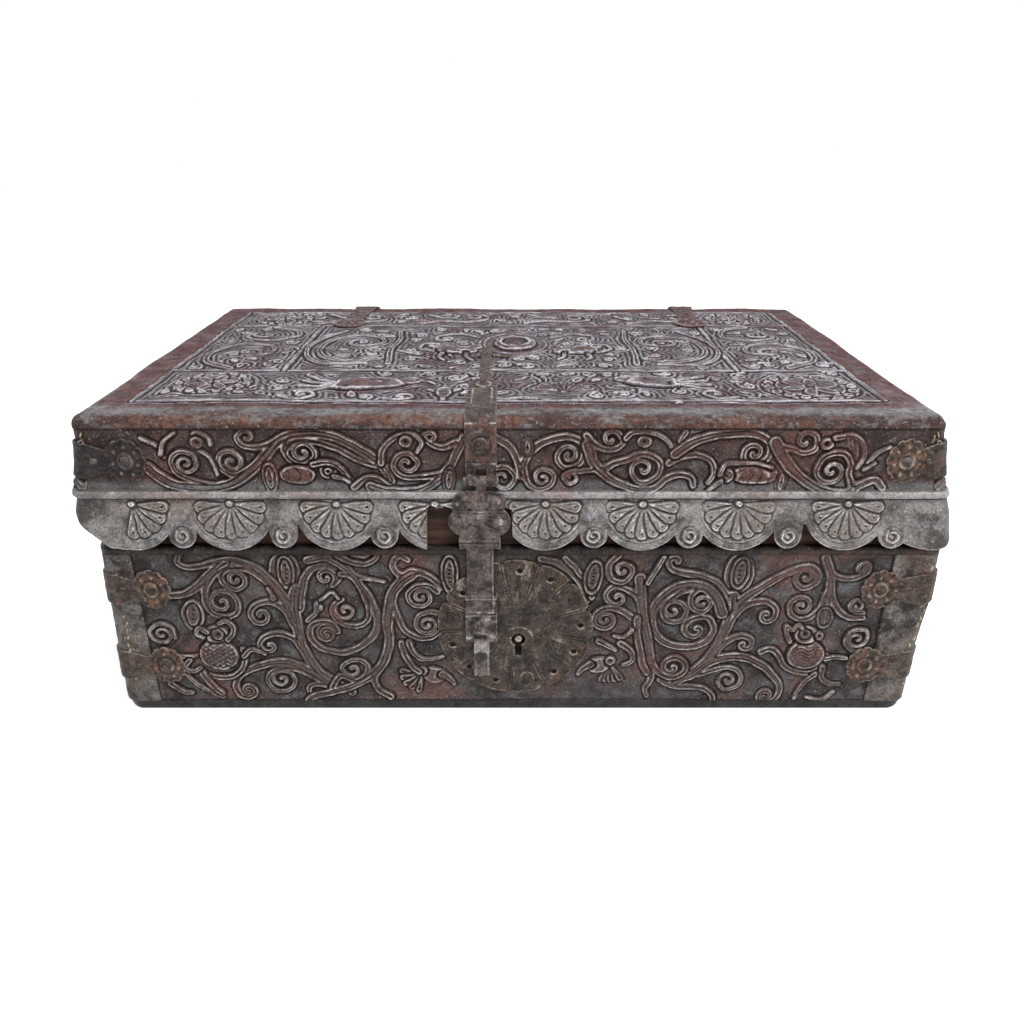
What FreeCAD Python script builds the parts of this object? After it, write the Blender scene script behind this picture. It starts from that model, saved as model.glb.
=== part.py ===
import FreeCAD
import Part
import math
import os

# Travelling trunk of dovetailed boards under tooled leather, with wrought-iron mounts.
# Millimetres, +X to the right as seen from the front, +Y to the back, +Z up.
# The origin is on the floor, under the middle of the trunk.
# An "offset" is a distance outward from the outer face of the flat leather:
# 0 is that face, a negative offset lies deeper in the trunk.

V = FreeCAD.Vector
UP = V(0, 0, 1)
RIGHT = V(1, 0, 0)
BACK = V(0, 1, 0)
FRONT = V(0, -1, 0)

# Whole trunk
trunk_width = 720.0  # over the leather, left to right
trunk_depth = 434.0  # over the leather, front to back
lid_height = 78.0  # rim of the base to the top of the lid's leather
bare_band = 39.0  # bare wood from the base's bound edge up to its rim
rim_gap = 0.5  # air between the rim and the closed lid
overrun = 30.0  # how far a cutting shape runs past what it cuts
touch = 0.01  # tolerance when an edge is looked up by its height

# Boards
wall_board = 14.0
bottom_board = 14.0
top_board = 12.0
base_tail_count = 5
lid_tail_count = 2
tail_neck_share = 0.42  # of a tail's pitch, at its root
tail_tip_share = 0.62  # of a tail's pitch, at its end
peg_radius = 3.0
peg_length = 34.0
peg_inset = 4.5  # from a wall's inner face to its pegs
pegs_per_long_side = 4

# Leather
hide = 5.0  # leather on the walls and the top
sole = 4.0  # leather under the bottom board
corner_round = 12.0  # upright corners, over the leather
roll_round = 11.0  # the lid's rolled top edge, over the leather
pan_rim = 10.5  # height of the bottom leather's turned-up edge
pan_round = 4.0
base_leather_height = 155.5  # wall leather, from the turned-up edge to the bound edge
seam_inset = 12.0  # from a corner of the lid to the sewn seam on its front
binding_width = 28.0  # leather strip along each corner of the base
binding_proud = 1.5  # how far that strip stands out
edge_strip_height = 7.0  # bound top edge of the base's leather
edge_strip_proud = 2.0
back_leather_gap = 6.0  # the back leather stops this far under the rim

# Raised welt and scalloped skirt of the lid
skirt_rise = 6.0  # from the rim up to the skirt's sewn edge
skirt_drop = 45.0  # from that edge down to the large lobes' lowest point
notch_drop = 22.0  # and down to the notches between the lobes
welt_height = 8.0
welt_proud = 2.2
welt_round = 1.8
skirt_flare = 9.0  # how far the skirt's lower edge stands out
skirt_hem = 4.0  # thickness of the skirt at its lower edge
skirt_wall_gap = 0.6  # from the skirt's root to the board behind it
lobe_pitch = 85.4
front_lobe_middle = 20.9  # the large lobe nearest the middle of the front
large_lobe_radius = 36.0
small_lobe_radius = 11.7
small_lobe_drop = 2.0  # the small lobes end this far above the large ones
hasp_notch_left = -72.5
hasp_notch_right = -0.3
hasp_notch_drop = 10.0  # from the skirt's sewn edge to the torn gap
skirt_corner_reach = 14.0  # the front skirt wraps this far round each corner

# Iron straps
strap_iron = 2.5
nail_head_radius = 4.5
nail_head_height = 2.5
nail_shank_radius = 1.6
nail_shank_length = 13.0
small_nail_radius = 3.0
small_nail_height = 1.6
rosette_radius = 19.5
rosette_width_share = 0.86  # rosettes are a little narrower than high
rosette_petals = 12
petal_depth = 1.4

# Corner straps
corner_strap_width = 30.0
corner_strap_neck = 20.0
corner_strap_flare = 26.0  # from the corner to where the strap has narrowed
rosette_reach_left = 43.0  # from the corner to the rosette's centre
rosette_reach_right = 37.0
corner_nail_reach = 18.0
upper_strap_drop = 34.0  # from the base's bound edge to the middle of the upper straps
lower_strap_rise = 41.5  # from the turned-up edge to the middle of the lower straps

# Back hinges
hinge_iron = 3.0
hinge_left_x = -182.0
hinge_right_x = 212.0
hinge_lean = -7.0  # sideways step from the hinge to its rosette on the lid
hinge_width = 31.0
hinge_neck = 23.0
hinge_rosette_radius = 20.0
hinge_top_reach = 102.0  # from the back face to the rosette on the lid
hinge_drop = 92.0  # from the axis down to the rosette on the base
hinge_barrel_radius = 5.0
hinge_pin_radius = 2.2
hinge_pin_head = 3.6
hinge_pin_head_height = 2.0
barrel_gap = 0.3  # from a barrel to the leather, and between two barrels
leaf_gap = 0.5  # from a strap's end to the other strap's barrels
pin_clearance = 0.05

# Hasp and its strap on the lid
hasp_x = -26.0
hasp_strap_iron = 3.0
hasp_strap_width = 26.0
hasp_strap_neck = 11.0
hasp_strap_reach = 215.0  # from the front face to the strap's tip
hasp_neck_reach = 104.0  # from the front face to the narrow neck
hasp_shoulder_reach = 88.0  # from the front face to the full width
hasp_cross_setback = 24.0  # from the tip back to the cross
hasp_cross_half = 17.0
hasp_cross_radius = 5.5
hasp_tip_radius = 7.0
hasp_rivet_reach = 93.0
hasp_rivet_drop = 13.0  # below the start of the lid's rolled edge
rivet_head_radius = 6.6
hasp_axis_rise = 24.0  # from the rim up to the hasp's pin
tongue_slot_rise = 10.0  # from the pin up to the top of the slot between the ears
hasp_barrel_radius = 4.5
hasp_pin_radius = 2.0
hasp_pin_head = 3.4
hasp_pin_head_height = 1.5
hasp_barrel_gap = 0.2
tongue_width = 8.4
tongue_gap = 0.3
hasp_iron = 3.0
hasp_shift = -1.8  # the plate hangs this far off the middle of its strap
boss_top_drop = 8.0  # these drops are measured down from the hasp's pin
boss_drop = 54.0
boss_waist_half = 18.0
upper_lobe_radius = 11.0
upper_lobe_half = 11.3
upper_lobe_drop = 20.0
lower_lobe_radius = 13.0
lower_lobe_half = 13.3
lower_lobe_drop = 37.0
boss_dome_radius = 7.0
boss_dome_height = 2.6
collar_half = 17.5
collar_drop = 62.0
collar_proud = 1.0
arm_half = 11.5
arm_foot_half = 14.0
arm_step_rise = 33.0  # above the staple's eye
arm_end_drop = 12.0  # below the staple's eye
bead_half_height = 1.5
bead_proud = 0.8
bead_rises = (arm_step_rise, 15.0, -10.0)
knob_rise = 2.5
knob_radius = 10.0
knob_proud = 2.4
tab_half = 7.0
tab_length = 34.0
tab_lift = 6.0  # how far the thumb tab's end stands out
tab_iron = 2.0

# Lock
plate_iron = 2.0
plate_margin = 7.75  # from the plate to the upper and lower edges of the leather
plate_lift = 2.75  # the plate's centre lies this far above the leather's middle
plate_x = 2.3
plate_lobes = 13
plate_lobe_depth = 1.5
plate_first_angle = 86.0
plate_hole_radius = 2.6
plate_hole_inset = 11.0  # from the plate's edge to the middle of its nail holes
nail_step_count = 4  # one hole in this many still holds its nail
first_nail_count = 2  # open holes before the first of those nails
keyhole_x = 5.4
keyhole_drop = 12.0  # from the plate's centre to the round of the keyhole
keyhole_radius = 6.3
keyhole_slot_half = 3.0
keyhole_slot_length = 17.5
staple_iron = 4.0
staple_rise = 1.0  # from the plate's centre up to the staple's eye
staple_half = 10.0
staple_depth = 21.5  # from the hasp's back to the staple's end
slot_side_gap = 1.0
slot_end_gap = 2.5
case_left = -37.0
case_right = 35.0
case_drop = 35.0  # from the plate's centre to the underside of the case
case_rise = 21.0
case_iron = 1.6
case_fit = 0.5
bolt_half_height = 4.0
bolt_half_depth = 3.2
bolt_back_gap = 6.0  # from the case's back plate to the bolt
bolt_right = 31.0
bolt_tip_gap = 2.0  # from the staple to the withdrawn bolt
talon_width = 3.0
talon_drop = 4.0
talon_half_gap = 5.0
guide_width = 4.0
guide_iron = 1.6
guide_fit = 0.3
guide_places = (-18.0, 18.0)
key_pin_radius = 3.0
key_pin_setback = 1.0  # from the front of the lock plate to the pin's end
spring_iron = 1.0
spring_half_depth = 2.5
spring_foot_x = 31.5
spring_bend_x = 13.0
spring_tip_x = -4.0
spring_rise = 9.0
spring_gap = 0.3

# Worked out from the sizes above
half_width = trunk_width / 2
half_depth = trunk_depth / 2
leather_top = pan_rim + base_leather_height
rim_height = leather_top + edge_strip_height + bare_band
trunk_height = rim_height + lid_height
board_face_x = half_width - hide
board_face_y = half_depth - hide
inner_x = board_face_x - wall_board
inner_y = board_face_y - wall_board
floor_top = sole + bottom_board
lid_low = rim_height + rim_gap
lid_ceiling = trunk_height - hide - top_board
roll_low = trunk_height - roll_round
skirt_top = rim_height + skirt_rise
skirt_bottom = skirt_top - skirt_drop
welt_top = skirt_top + welt_height
lid_strap_height = (welt_top + roll_low) / 2
upper_strap_height = leather_top - upper_strap_drop
lower_strap_height = pan_rim + lower_strap_rise
hinge_axis_y = half_depth + barrel_gap + hinge_barrel_radius
hinge_axis_z = rim_height
hasp_axis_height = rim_height + hasp_axis_rise
tongue_slot_top = hasp_axis_height + tongue_slot_rise
hasp_axis_offset = hasp_barrel_gap + hasp_barrel_radius
hasp_back_offset = hasp_axis_offset - hasp_iron / 2
hasp_front_offset = hasp_back_offset + hasp_iron
boss_top = hasp_axis_height - boss_top_drop
boss_bottom = hasp_axis_height - boss_drop
upper_lobe_height = hasp_axis_height - upper_lobe_drop
lower_lobe_height = hasp_axis_height - lower_lobe_drop
collar_bottom = hasp_axis_height - collar_drop
plate_radius = base_leather_height / 2 - plate_margin
plate_height = pan_rim + base_leather_height / 2 + plate_lift
keyhole_height = plate_height - keyhole_drop
keyhole_bottom = keyhole_height - keyhole_slot_length
staple_height = plate_height + staple_rise
arm_step = staple_height + arm_step_rise
arm_bottom = staple_height - arm_end_drop
case_low = plate_height - case_drop
case_high = plate_height + case_rise


def box(low, high):
    """Block between two opposite corners."""
    size = [b - a for a, b in zip(low, high)]
    return Part.makeBox(size[0], size[1], size[2], V(*low))


def rounded_outline(offset, z):
    """Plan outline of the trunk at an offset, with round corners."""
    x, y, r = half_width + offset, half_depth + offset, corner_round + offset
    edges = []
    corners = [(1, -1), (1, 1), (-1, 1), (-1, -1)]
    arcs = []
    for k, (sx, sy) in enumerate(corners):
        middle = V(sx * (x - r), sy * (y - r), z)
        points = []
        for turn in (-1, -1 / 2, 0):
            a = (k + turn) * math.pi / 2
            points.append(middle + V(r * math.cos(a), r * math.sin(a), 0))
        arcs.append(points)
    for k, points in enumerate(arcs):
        edges.append(Part.Arc(*points).toShape())
        edges.append(Part.LineSegment(points[2], arcs[(k + 1) % 4][0]).toShape())
    return Part.Wire(edges)


def rounded_block(offset, z_low, z_high):
    """Block with the trunk's plan outline at an offset."""
    face = Part.Face(rounded_outline(offset, z_low))
    return face.extrude(UP * (z_high - z_low))


def round_rim(shape, z, radius):
    """Fillet of the closed loop of edges that lies at one height."""
    edges = [e for e in shape.Edges if all(abs(v.Z - z) < touch for v in e.Vertexes)]
    return shape.makeFillet(radius, edges)


def ring(inner, outer, z_low, z_high):
    """Upright wall between two offsets, all round the trunk."""
    hollow = rounded_block(inner, z_low - overrun, z_high + overrun)
    return rounded_block(outer, z_low, z_high).cut(hollow)


def outside(x_low, x_high, y_low, y_high):
    """Upright column of space, for splitting a ring into its panels."""
    return box((x_low, y_low, -overrun), (x_high, y_high, trunk_height + overrun))


def polygon(points, direction):
    """Prism from a flat outline, extruded along a vector."""
    closed = [V(*p) for p in points] + [V(*points[0])]
    return Part.Face(Part.makePolygon(closed)).extrude(direction)


def petal_outline(centre, radius, petals, depth, across, along, first=0.0):
    """Closed outline of arcs with notches between them, in the plane of two vectors."""
    edges = []
    step = 2 * math.pi / petals

    def at(angle, r):
        return centre + across * (r * math.cos(angle)) + along * (r * math.sin(angle))

    for k in range(petals):
        middle = math.radians(first) + k * step
        ends = [middle - step / 2, middle + step / 2]
        edges.append(
            Part.Arc(
                at(ends[0], radius - depth), at(middle, radius), at(ends[1], radius - depth)
            ).toShape()
        )
    return Part.Wire(edges)


def rosette(centre, radius, normal, across, along, iron):
    """Scalloped iron oval whose back face is at centre."""
    narrow = across * rosette_width_share
    outline = petal_outline(centre, radius, rosette_petals, petal_depth, narrow, along)
    return Part.Face(outline).extrude(normal * iron)


def placed(shape, point, normal):
    """Copy of a shape made along +Z, turned to a normal and moved to a point."""
    shape = shape.copy()
    shape.Placement = FreeCAD.Placement(point, FreeCAD.Rotation(UP, normal))
    return shape


def dome(point, normal, radius, height):
    """Low round boss, shaped as a cap of a sphere."""
    ball = (radius * radius + height * height) / (2 * height)
    lean = math.asin(radius / ball) / 2
    side = V(ball * math.sin(lean), 0, height - ball + ball * math.cos(lean))
    arc = Part.Arc(V(radius, 0, 0), side, V(0, 0, height)).toShape()
    lines = Part.makePolygon([V(0, 0, height), V(0, 0, 0), V(radius, 0, 0)])
    face = Part.Face(Part.Wire([arc] + lines.Edges))
    return placed(face.revolve(V(0, 0, 0), UP, 360), point, normal)


def shank(point, normal, radius, length):
    """Straight shank that runs inward from a point."""
    return Part.makeCylinder(radius, length, point, normal * -1)


class Nails:
    """Nails of one node, kept with their shanks so that every layer gets its hole."""

    def __init__(self):
        self.solids = []
        self.shanks = []

    def drive(self, point, normal, head, height, length=nail_shank_length):
        pin = shank(point, normal, nail_shank_radius, length)
        self.shanks.append(pin)
        self.solids.append(dome(point, normal, head, height).fuse(pin))

    def drill(self, shape):
        """The shape with a hole for each shank that reaches it."""
        near = [s for s in self.shanks if s.BoundBox.intersect(shape.BoundBox)]
        return shape.cut(near) if near else shape


parts = {}
lid_nails = Nails()
base_nails = Nails()
lock_nails = Nails()
hasp_nails = Nails()


def corner_strap(sx, sy, height, offset, nails):
    """Iron strap round one upright corner, with a rosette at each end."""
    rosette_reach = rosette_reach_left if sx < 0 else rosette_reach_right
    round_in = corner_round + offset
    round_out = round_in + strap_iron
    cx, cy = sx * (half_width - corner_round), sy * (half_depth - corner_round)
    low = height - corner_strap_width / 2
    bend = Part.makeCylinder(round_out, corner_strap_width, V(cx, cy, low))
    bend = bend.cut(Part.makeCylinder(round_in, corner_strap_width, V(cx, cy, low)))
    quarter = sorted([cx, cx + sx * round_out]) + sorted([cy, cy + sy * round_out])
    bend = bend.common(
        box(
            (quarter[0], quarter[2], low),
            (quarter[1], quarter[3], low + corner_strap_width),
        )
    )
    pieces = []
    legs = [
        (V(0, sy, 0), V(-sx, 0, 0), half_depth, half_width),
        (V(sx, 0, 0), V(0, -sy, 0), half_width, half_depth),
    ]
    for normal, inward, face, reach in legs:
        foot = normal * (face + offset) - inward * reach + UP * height
        outline = [
            (corner_round, -corner_strap_width / 2),
            (corner_strap_flare, -corner_strap_neck / 2),
            (rosette_reach, -corner_strap_neck / 2),
            (rosette_reach, corner_strap_neck / 2),
            (corner_strap_flare, corner_strap_neck / 2),
            (corner_round, corner_strap_width / 2),
        ]
        points = [foot + inward * u + UP * v for u, v in outline]
        pieces.append(polygon(points, normal * strap_iron))
        hub = foot + inward * rosette_reach
        pieces.append(rosette(hub, rosette_radius, normal, inward, UP, strap_iron))
        on_top = normal * strap_iron
        nails.drive(hub + on_top, normal, nail_head_radius, nail_head_height)
        nails.drive(
            foot + inward * corner_nail_reach + on_top,
            normal,
            small_nail_radius,
            small_nail_height,
        )
    strap = bend.fuse(pieces).removeSplitter()
    return nails.drill(strap)


def dovetails(sx, sy, z_low, z_high, count):
    """Tails of a side board at one corner, as they pass through the front or back board."""
    pitch = (z_high - z_low) / count
    tails = []
    for k in range(count):
        middle = z_low + (k + 1 / 2) * pitch
        neck, tip = pitch * tail_neck_share / 2, pitch * tail_tip_share / 2
        x = sx * inner_x if sx > 0 else -board_face_x
        outline = [
            (x, sy * inner_y, middle - neck),
            (x, sy * inner_y, middle + neck),
            (x, sy * board_face_y, middle + tip),
            (x, sy * board_face_y, middle - tip),
        ]
        tails.append(polygon(outline, RIGHT * wall_board))
    return tails


def board_frame(prefix, z_low, z_high, tail_count):
    """Front, back, left and right boards with through dovetails at the corners."""
    hollow = box(
        (-inner_x, -inner_y, z_low - overrun), (inner_x, inner_y, z_high + overrun)
    )
    frame = rounded_block(-hide, z_low, z_high).cut(hollow)
    boards = {}
    for name, sy in (("front", -1), ("back", 1)):
        span = sorted([sy * inner_y, sy * (half_depth + overrun)])
        board = frame.common(outside(-half_width, half_width, span[0], span[1]))
        tails = []
        for sx in (-1, 1):
            tails += dovetails(sx, sy, z_low, z_high, tail_count)
        boards[name] = board.cut(tails)
    for name, sx in (("left", -1), ("right", 1)):
        span = sorted([sx * inner_x, sx * (half_width + overrun)])
        board = frame.common(outside(span[0], span[1], -inner_y, inner_y))
        tails = []
        for sy in (-1, 1):
            tails += dovetails(sx, sy, z_low, z_high, tail_count)
        ends = [t.common(frame) for t in tails]
        boards[name] = board.fuse(ends).removeSplitter()
    return {f"{prefix}_{name}_board": board for name, board in boards.items()}


def board_pegs(z_outer, direction):
    """Wooden pegs that hold a flat board to the walls, in rows along the front and back."""
    pegs = []
    step = 2 * inner_x / pegs_per_long_side
    row = inner_y + peg_inset
    for k in range(pegs_per_long_side):
        x = -inner_x + (k + 1 / 2) * step
        for y in (-row, row):
            pegs.append(
                Part.makeCylinder(peg_radius, peg_length, V(x, y, z_outer), direction)
            )
    return pegs


def make_boards():
    """The two wooden boxes and the pegs of their flat boards."""
    parts.update(board_frame("base", floor_top, rim_height, base_tail_count))
    parts.update(board_frame("lid", lid_low, lid_ceiling, lid_tail_count))
    parts["base_bottom_board"] = rounded_block(-hide, sole, floor_top)
    top = rounded_block(-hide, lid_ceiling, trunk_height - hide)
    parts["lid_top_board"] = round_rim(top, trunk_height - hide, roll_round - hide)
    base_pegs = board_pegs(sole, UP)
    lid_pegs = board_pegs(trunk_height - hide, UP * -1)
    for name in ("base_bottom_board", "base_front_board", "base_back_board"):
        parts[name] = parts[name].cut(base_pegs)
    for name in ("lid_top_board", "lid_front_board", "lid_back_board"):
        parts[name] = parts[name].cut(lid_pegs)
    parts["base_board_pegs"] = Part.makeCompound(base_pegs)
    parts["lid_board_pegs"] = Part.makeCompound(lid_pegs)


def make_base_leather():
    """Bottom leather with a turned-up edge, four wall panels, corner strips and bound edge."""
    pan = round_rim(rounded_block(0, 0, pan_rim), 0, pan_round)
    hollow = rounded_block(-hide, sole, pan_rim + overrun)
    parts["base_bottom_leather"] = pan.cut(hollow)

    wall = ring(-hide, 0, pan_rim, leather_top)
    far_x, far_y = half_width + overrun, half_depth + overrun
    panel_x, panel_y = half_width - binding_width, half_depth - binding_width
    parts["base_front_leather"] = wall.common(outside(-panel_x, panel_x, -far_y, 0))
    parts["base_left_leather"] = wall.common(outside(-far_x, 0, -panel_y, panel_y))
    parts["base_right_leather"] = wall.common(outside(0, far_x, -panel_y, panel_y))
    tall = ring(-hide, 0, pan_rim, rim_height - back_leather_gap)
    parts["base_back_leather"] = tall.common(outside(-panel_x, panel_x, 0, far_y))

    strips = ring(-hide, binding_proud, pan_rim, leather_top)
    for x_name, sx in (("left", -1), ("right", 1)):
        for y_name, sy in (("front", -1), ("rear", 1)):
            x_span = sorted([sx * panel_x, sx * far_x])
            y_span = sorted([sy * panel_y, sy * far_y])
            corner = outside(x_span[0], x_span[1], y_span[0], y_span[1])
            parts[f"base_corner_strip_{y_name}_{x_name}"] = strips.common(corner)

    edge_top = leather_top + edge_strip_height
    edge = ring(-hide, edge_strip_proud, leather_top, edge_top)
    seam_x = half_width - seam_inset
    parts["base_edge_strips"] = Part.makeCompound(
        [
            edge.common(outside(-seam_x, seam_x, -far_y, 0)),
            edge.common(outside(-far_x, -seam_x, -far_y, panel_y)),
            edge.common(outside(seam_x, far_x, -far_y, panel_y)),
        ]
    )


def make_lid_leather():
    """Rolled top leather, four wall panels, and the raised welt under them."""
    shell = rounded_block(0, skirt_top, trunk_height)
    shell = round_rim(shell, trunk_height, roll_round)
    core = rounded_block(-hide, skirt_top - overrun, trunk_height - hide)
    core = round_rim(core, trunk_height - hide, roll_round - hide)
    below = rounded_block(overrun, skirt_top - overrun, roll_low)
    parts["lid_top_leather"] = shell.cut([core, below])

    far_x, far_y = half_width + overrun, half_depth + overrun
    seam_x = half_width - seam_inset
    wall = ring(-hide, 0, skirt_top, roll_low)
    parts["lid_front_leather"] = wall.common(outside(-seam_x, seam_x, -far_y, 0))
    parts["lid_left_leather"] = wall.common(outside(-far_x, -seam_x, -far_y, far_y))
    parts["lid_right_leather"] = wall.common(outside(seam_x, far_x, -far_y, far_y))
    tall = ring(-hide, 0, lid_low + rim_gap, roll_low)
    parts["lid_back_leather"] = tall.common(outside(-seam_x, seam_x, 0, far_y))

    welt = rounded_block(welt_proud, skirt_top, welt_top)
    welt = round_rim(welt, skirt_top, welt_round)
    welt = round_rim(welt, welt_top, welt_round)
    welt = welt.cut(rounded_block(0, skirt_top - overrun, welt_top + overrun))
    wrap = half_depth - skirt_corner_reach
    parts["lid_welts"] = Part.makeCompound(
        [
            welt.common(outside(-far_x, far_x, -far_y, -wrap)),
            welt.common(outside(-far_x, -inner_x, -wrap, wrap)),
            welt.common(outside(inner_x, far_x, -wrap, wrap)),
        ]
    )


def lobe_shapes(middles, low, high, axis, place):
    """Round lobes along a skirt: large ones at the middles, a small one between each two."""
    shapes = []
    depth = high - low
    for middle in middles:
        big = place(middle, skirt_bottom + large_lobe_radius, low)
        shapes.append(Part.makeCylinder(large_lobe_radius, depth, big, axis))
        knob_z = skirt_bottom + small_lobe_drop + small_lobe_radius
        small = place(middle + lobe_pitch / 2, knob_z, low)
        shapes.append(Part.makeCylinder(small_lobe_radius, depth, small, axis))
    return shapes


def make_skirt():
    """Scalloped leather skirt round the front and the sides of the lid."""
    outer = Part.makeLoft(
        [rounded_outline(skirt_flare, skirt_bottom), rounded_outline(0, skirt_top)],
        True,
        True,
    )
    root_gap = skirt_wall_gap - hide
    hem_offset = skirt_flare - skirt_hem
    inner = Part.makeLoft(
        [rounded_outline(hem_offset, skirt_bottom), rounded_outline(root_gap, lid_low)],
        True,
        True,
    )
    body = rounded_block(-hide, skirt_bottom - overrun, skirt_top + overrun)
    skirt = outer.cut([inner, body])

    wrap = half_depth - skirt_corner_reach
    far_x, far_y = half_width + overrun, half_depth + overrun
    band_top = skirt_top + overrun

    front_count = int(half_width / lobe_pitch)
    middles = [
        front_lobe_middle + k * lobe_pitch for k in range(-front_count, front_count + 1)
    ]
    lobes = lobe_shapes(middles, -far_y, -wrap, BACK, lambda u, z, y: V(u, y, z))
    band = box((-far_x, -far_y, skirt_top - notch_drop), (far_x, -wrap, band_top))
    outline = band.fuse(lobes)
    notch = box(
        (hasp_notch_left, -far_y, skirt_bottom - overrun),
        (hasp_notch_right, -wrap, skirt_top - hasp_notch_drop),
    )
    front = skirt.common(outline.cut(notch))
    parts["lid_front_skirt"] = front

    side_count = int(wrap / lobe_pitch)
    middles = [(k + 1 / 2) * lobe_pitch for k in range(-side_count - 1, side_count + 1)]
    for name, sx in (("left", -1), ("right", 1)):
        span = sorted([sx * inner_x, sx * far_x])
        lobes = lobe_shapes(middles, span[0], span[1], RIGHT, lambda u, z, x: V(x, u, z))
        band = box((span[0], -far_y, skirt_top - notch_drop), (span[1], far_y, band_top))
        room = outside(span[0], span[1], -wrap, wrap)
        parts[f"lid_{name}_skirt"] = skirt.common(band.fuse(lobes)).common(room)


def bent_strap(x, width, sy, iron, z_low):
    """Upright leg and quarter bend of a strap that goes over the lid's rolled edge."""
    centre = V(x - width / 2, sy * (half_depth - roll_round), roll_low)
    bend = Part.makeCylinder(roll_round + iron, width, centre, RIGHT)
    bend = bend.cut(Part.makeCylinder(roll_round, width, centre, RIGHT))
    y_span = sorted([centre.y, sy * (half_depth + iron)])
    bend = bend.common(
        box((x - width / 2, y_span[0], centre.z), (x + width / 2, y_span[1], trunk_height + iron))
    )
    leg_span = sorted([sy * half_depth, sy * (half_depth + iron)])
    leg = box((x - width / 2, leg_span[0], z_low), (x + width / 2, leg_span[1], centre.z))
    return bend.fuse(leg)


def make_hinge(name, x):
    """Strap hinge: one strap over the lid, one down the back of the base, and their barrels."""
    axis = V(0, hinge_axis_y, hinge_axis_z)
    barrel = (hinge_width - 2 * barrel_gap) / 3
    outer_face = half_depth + hinge_iron
    clear = hinge_barrel_radius + leaf_gap

    def knuckle(x_low, bore):
        start = V(x_low, axis.y, axis.z)
        tube = Part.makeCylinder(hinge_barrel_radius, barrel, start, RIGHT)
        hole = Part.makeCylinder(bore, barrel, start, RIGHT)
        return tube, hole

    # Lid leaf: rosette on the top, bend over the edge, one barrel in the middle
    hub_y = half_depth - hinge_top_reach
    edge_y = half_depth - roll_round
    hub_x = x + hinge_lean
    top = polygon(
        [
            (hub_x - hinge_neck / 2, hub_y, trunk_height),
            (hub_x + hinge_neck / 2, hub_y, trunk_height),
            (x + hinge_width / 2, edge_y, trunk_height),
            (x - hinge_width / 2, edge_y, trunk_height),
        ],
        UP * hinge_iron,
    )
    hub = V(hub_x, hub_y, trunk_height)
    disc = rosette(hub, hinge_rosette_radius, UP, RIGHT, BACK, hinge_iron)
    strap = bent_strap(x, hinge_width, 1, hinge_iron, axis.z + clear)
    tube, hole = knuckle(x - barrel / 2, hinge_pin_radius + pin_clearance)
    tongue = box(
        (x - barrel / 2, half_depth, axis.z),
        (x + barrel / 2, outer_face, axis.z + clear),
    )
    lid_leaf = strap.fuse([top, disc, tube, tongue]).cut(hole)

    # Base leaf: two outer barrels, strap down the back, rosette at its foot
    leg_low = axis.z - hinge_drop
    pieces = [
        polygon(
            [
                (x - hinge_width / 2, half_depth, axis.z - clear),
                (x + hinge_width / 2, half_depth, axis.z - clear),
                (x + hinge_neck / 2, half_depth, leg_low),
                (x - hinge_neck / 2, half_depth, leg_low),
            ],
            BACK * hinge_iron,
        )
    ]
    foot = V(x, half_depth, leg_low)
    pieces.append(rosette(foot, hinge_rosette_radius, BACK, RIGHT, UP, hinge_iron))
    holes = []
    for x_low in (x - hinge_width / 2, x + hinge_width / 2 - barrel):
        tube, hole = knuckle(x_low, hinge_pin_radius)
        pieces += [
            tube,
            box((x_low, half_depth, axis.z - clear), (x_low + barrel, outer_face, axis.z)),
        ]
        holes.append(hole)
    base_leaf = pieces[0].fuse(pieces[1:]).cut(holes)

    on_lid, on_base = UP * hinge_iron, BACK * hinge_iron
    head, height = nail_head_radius, nail_head_height
    lid_nails.drive(hub + on_lid, UP, head, height)
    midway = V((hub_x + x) / 2, (hub_y + edge_y) / 2, trunk_height)
    lid_nails.drive(midway + on_lid, UP, head, height)
    base_nails.drive(foot + on_base, BACK, head, height)
    base_nails.drive(foot + UP * (hinge_drop / 2) + on_base, BACK, head, height)
    parts[f"{name}_hinge_lid_strap"] = lid_nails.drill(lid_leaf)
    parts[f"{name}_hinge_base_strap"] = base_nails.drill(base_leaf)

    length = hinge_width + 2 * hinge_pin_head_height
    start = V(x - length / 2, axis.y, axis.z)
    pin = Part.makeCylinder(hinge_pin_radius, length, start, RIGHT)
    heads = []
    for x_low in (x - length / 2, x + length / 2 - hinge_pin_head_height):
        at = V(x_low, axis.y, axis.z)
        heads.append(Part.makeCylinder(hinge_pin_head, hinge_pin_head_height, at, RIGHT))
    return pin.fuse(heads)


def make_straps():
    """Back hinges and the iron straps round the corners of lid and base."""
    pins = [make_hinge("left", hinge_left_x), make_hinge("right", hinge_right_x)]
    parts["hinge_pins"] = Part.makeCompound(pins)
    for x_name, sx in (("left", -1), ("right", 1)):
        for y_name, sy in (("front", -1), ("rear", 1)):
            corner = f"{y_name}_{x_name}"
            lid_strap = corner_strap(sx, sy, lid_strap_height, 0, lid_nails)
            parts[f"lid_corner_strap_{corner}"] = lid_strap
            pair = []
            for height in (upper_strap_height, lower_strap_height):
                pair.append(corner_strap(sx, sy, height, binding_proud, base_nails))
            parts[f"base_corner_straps_{corner}"] = Part.makeCompound(pair)


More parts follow.
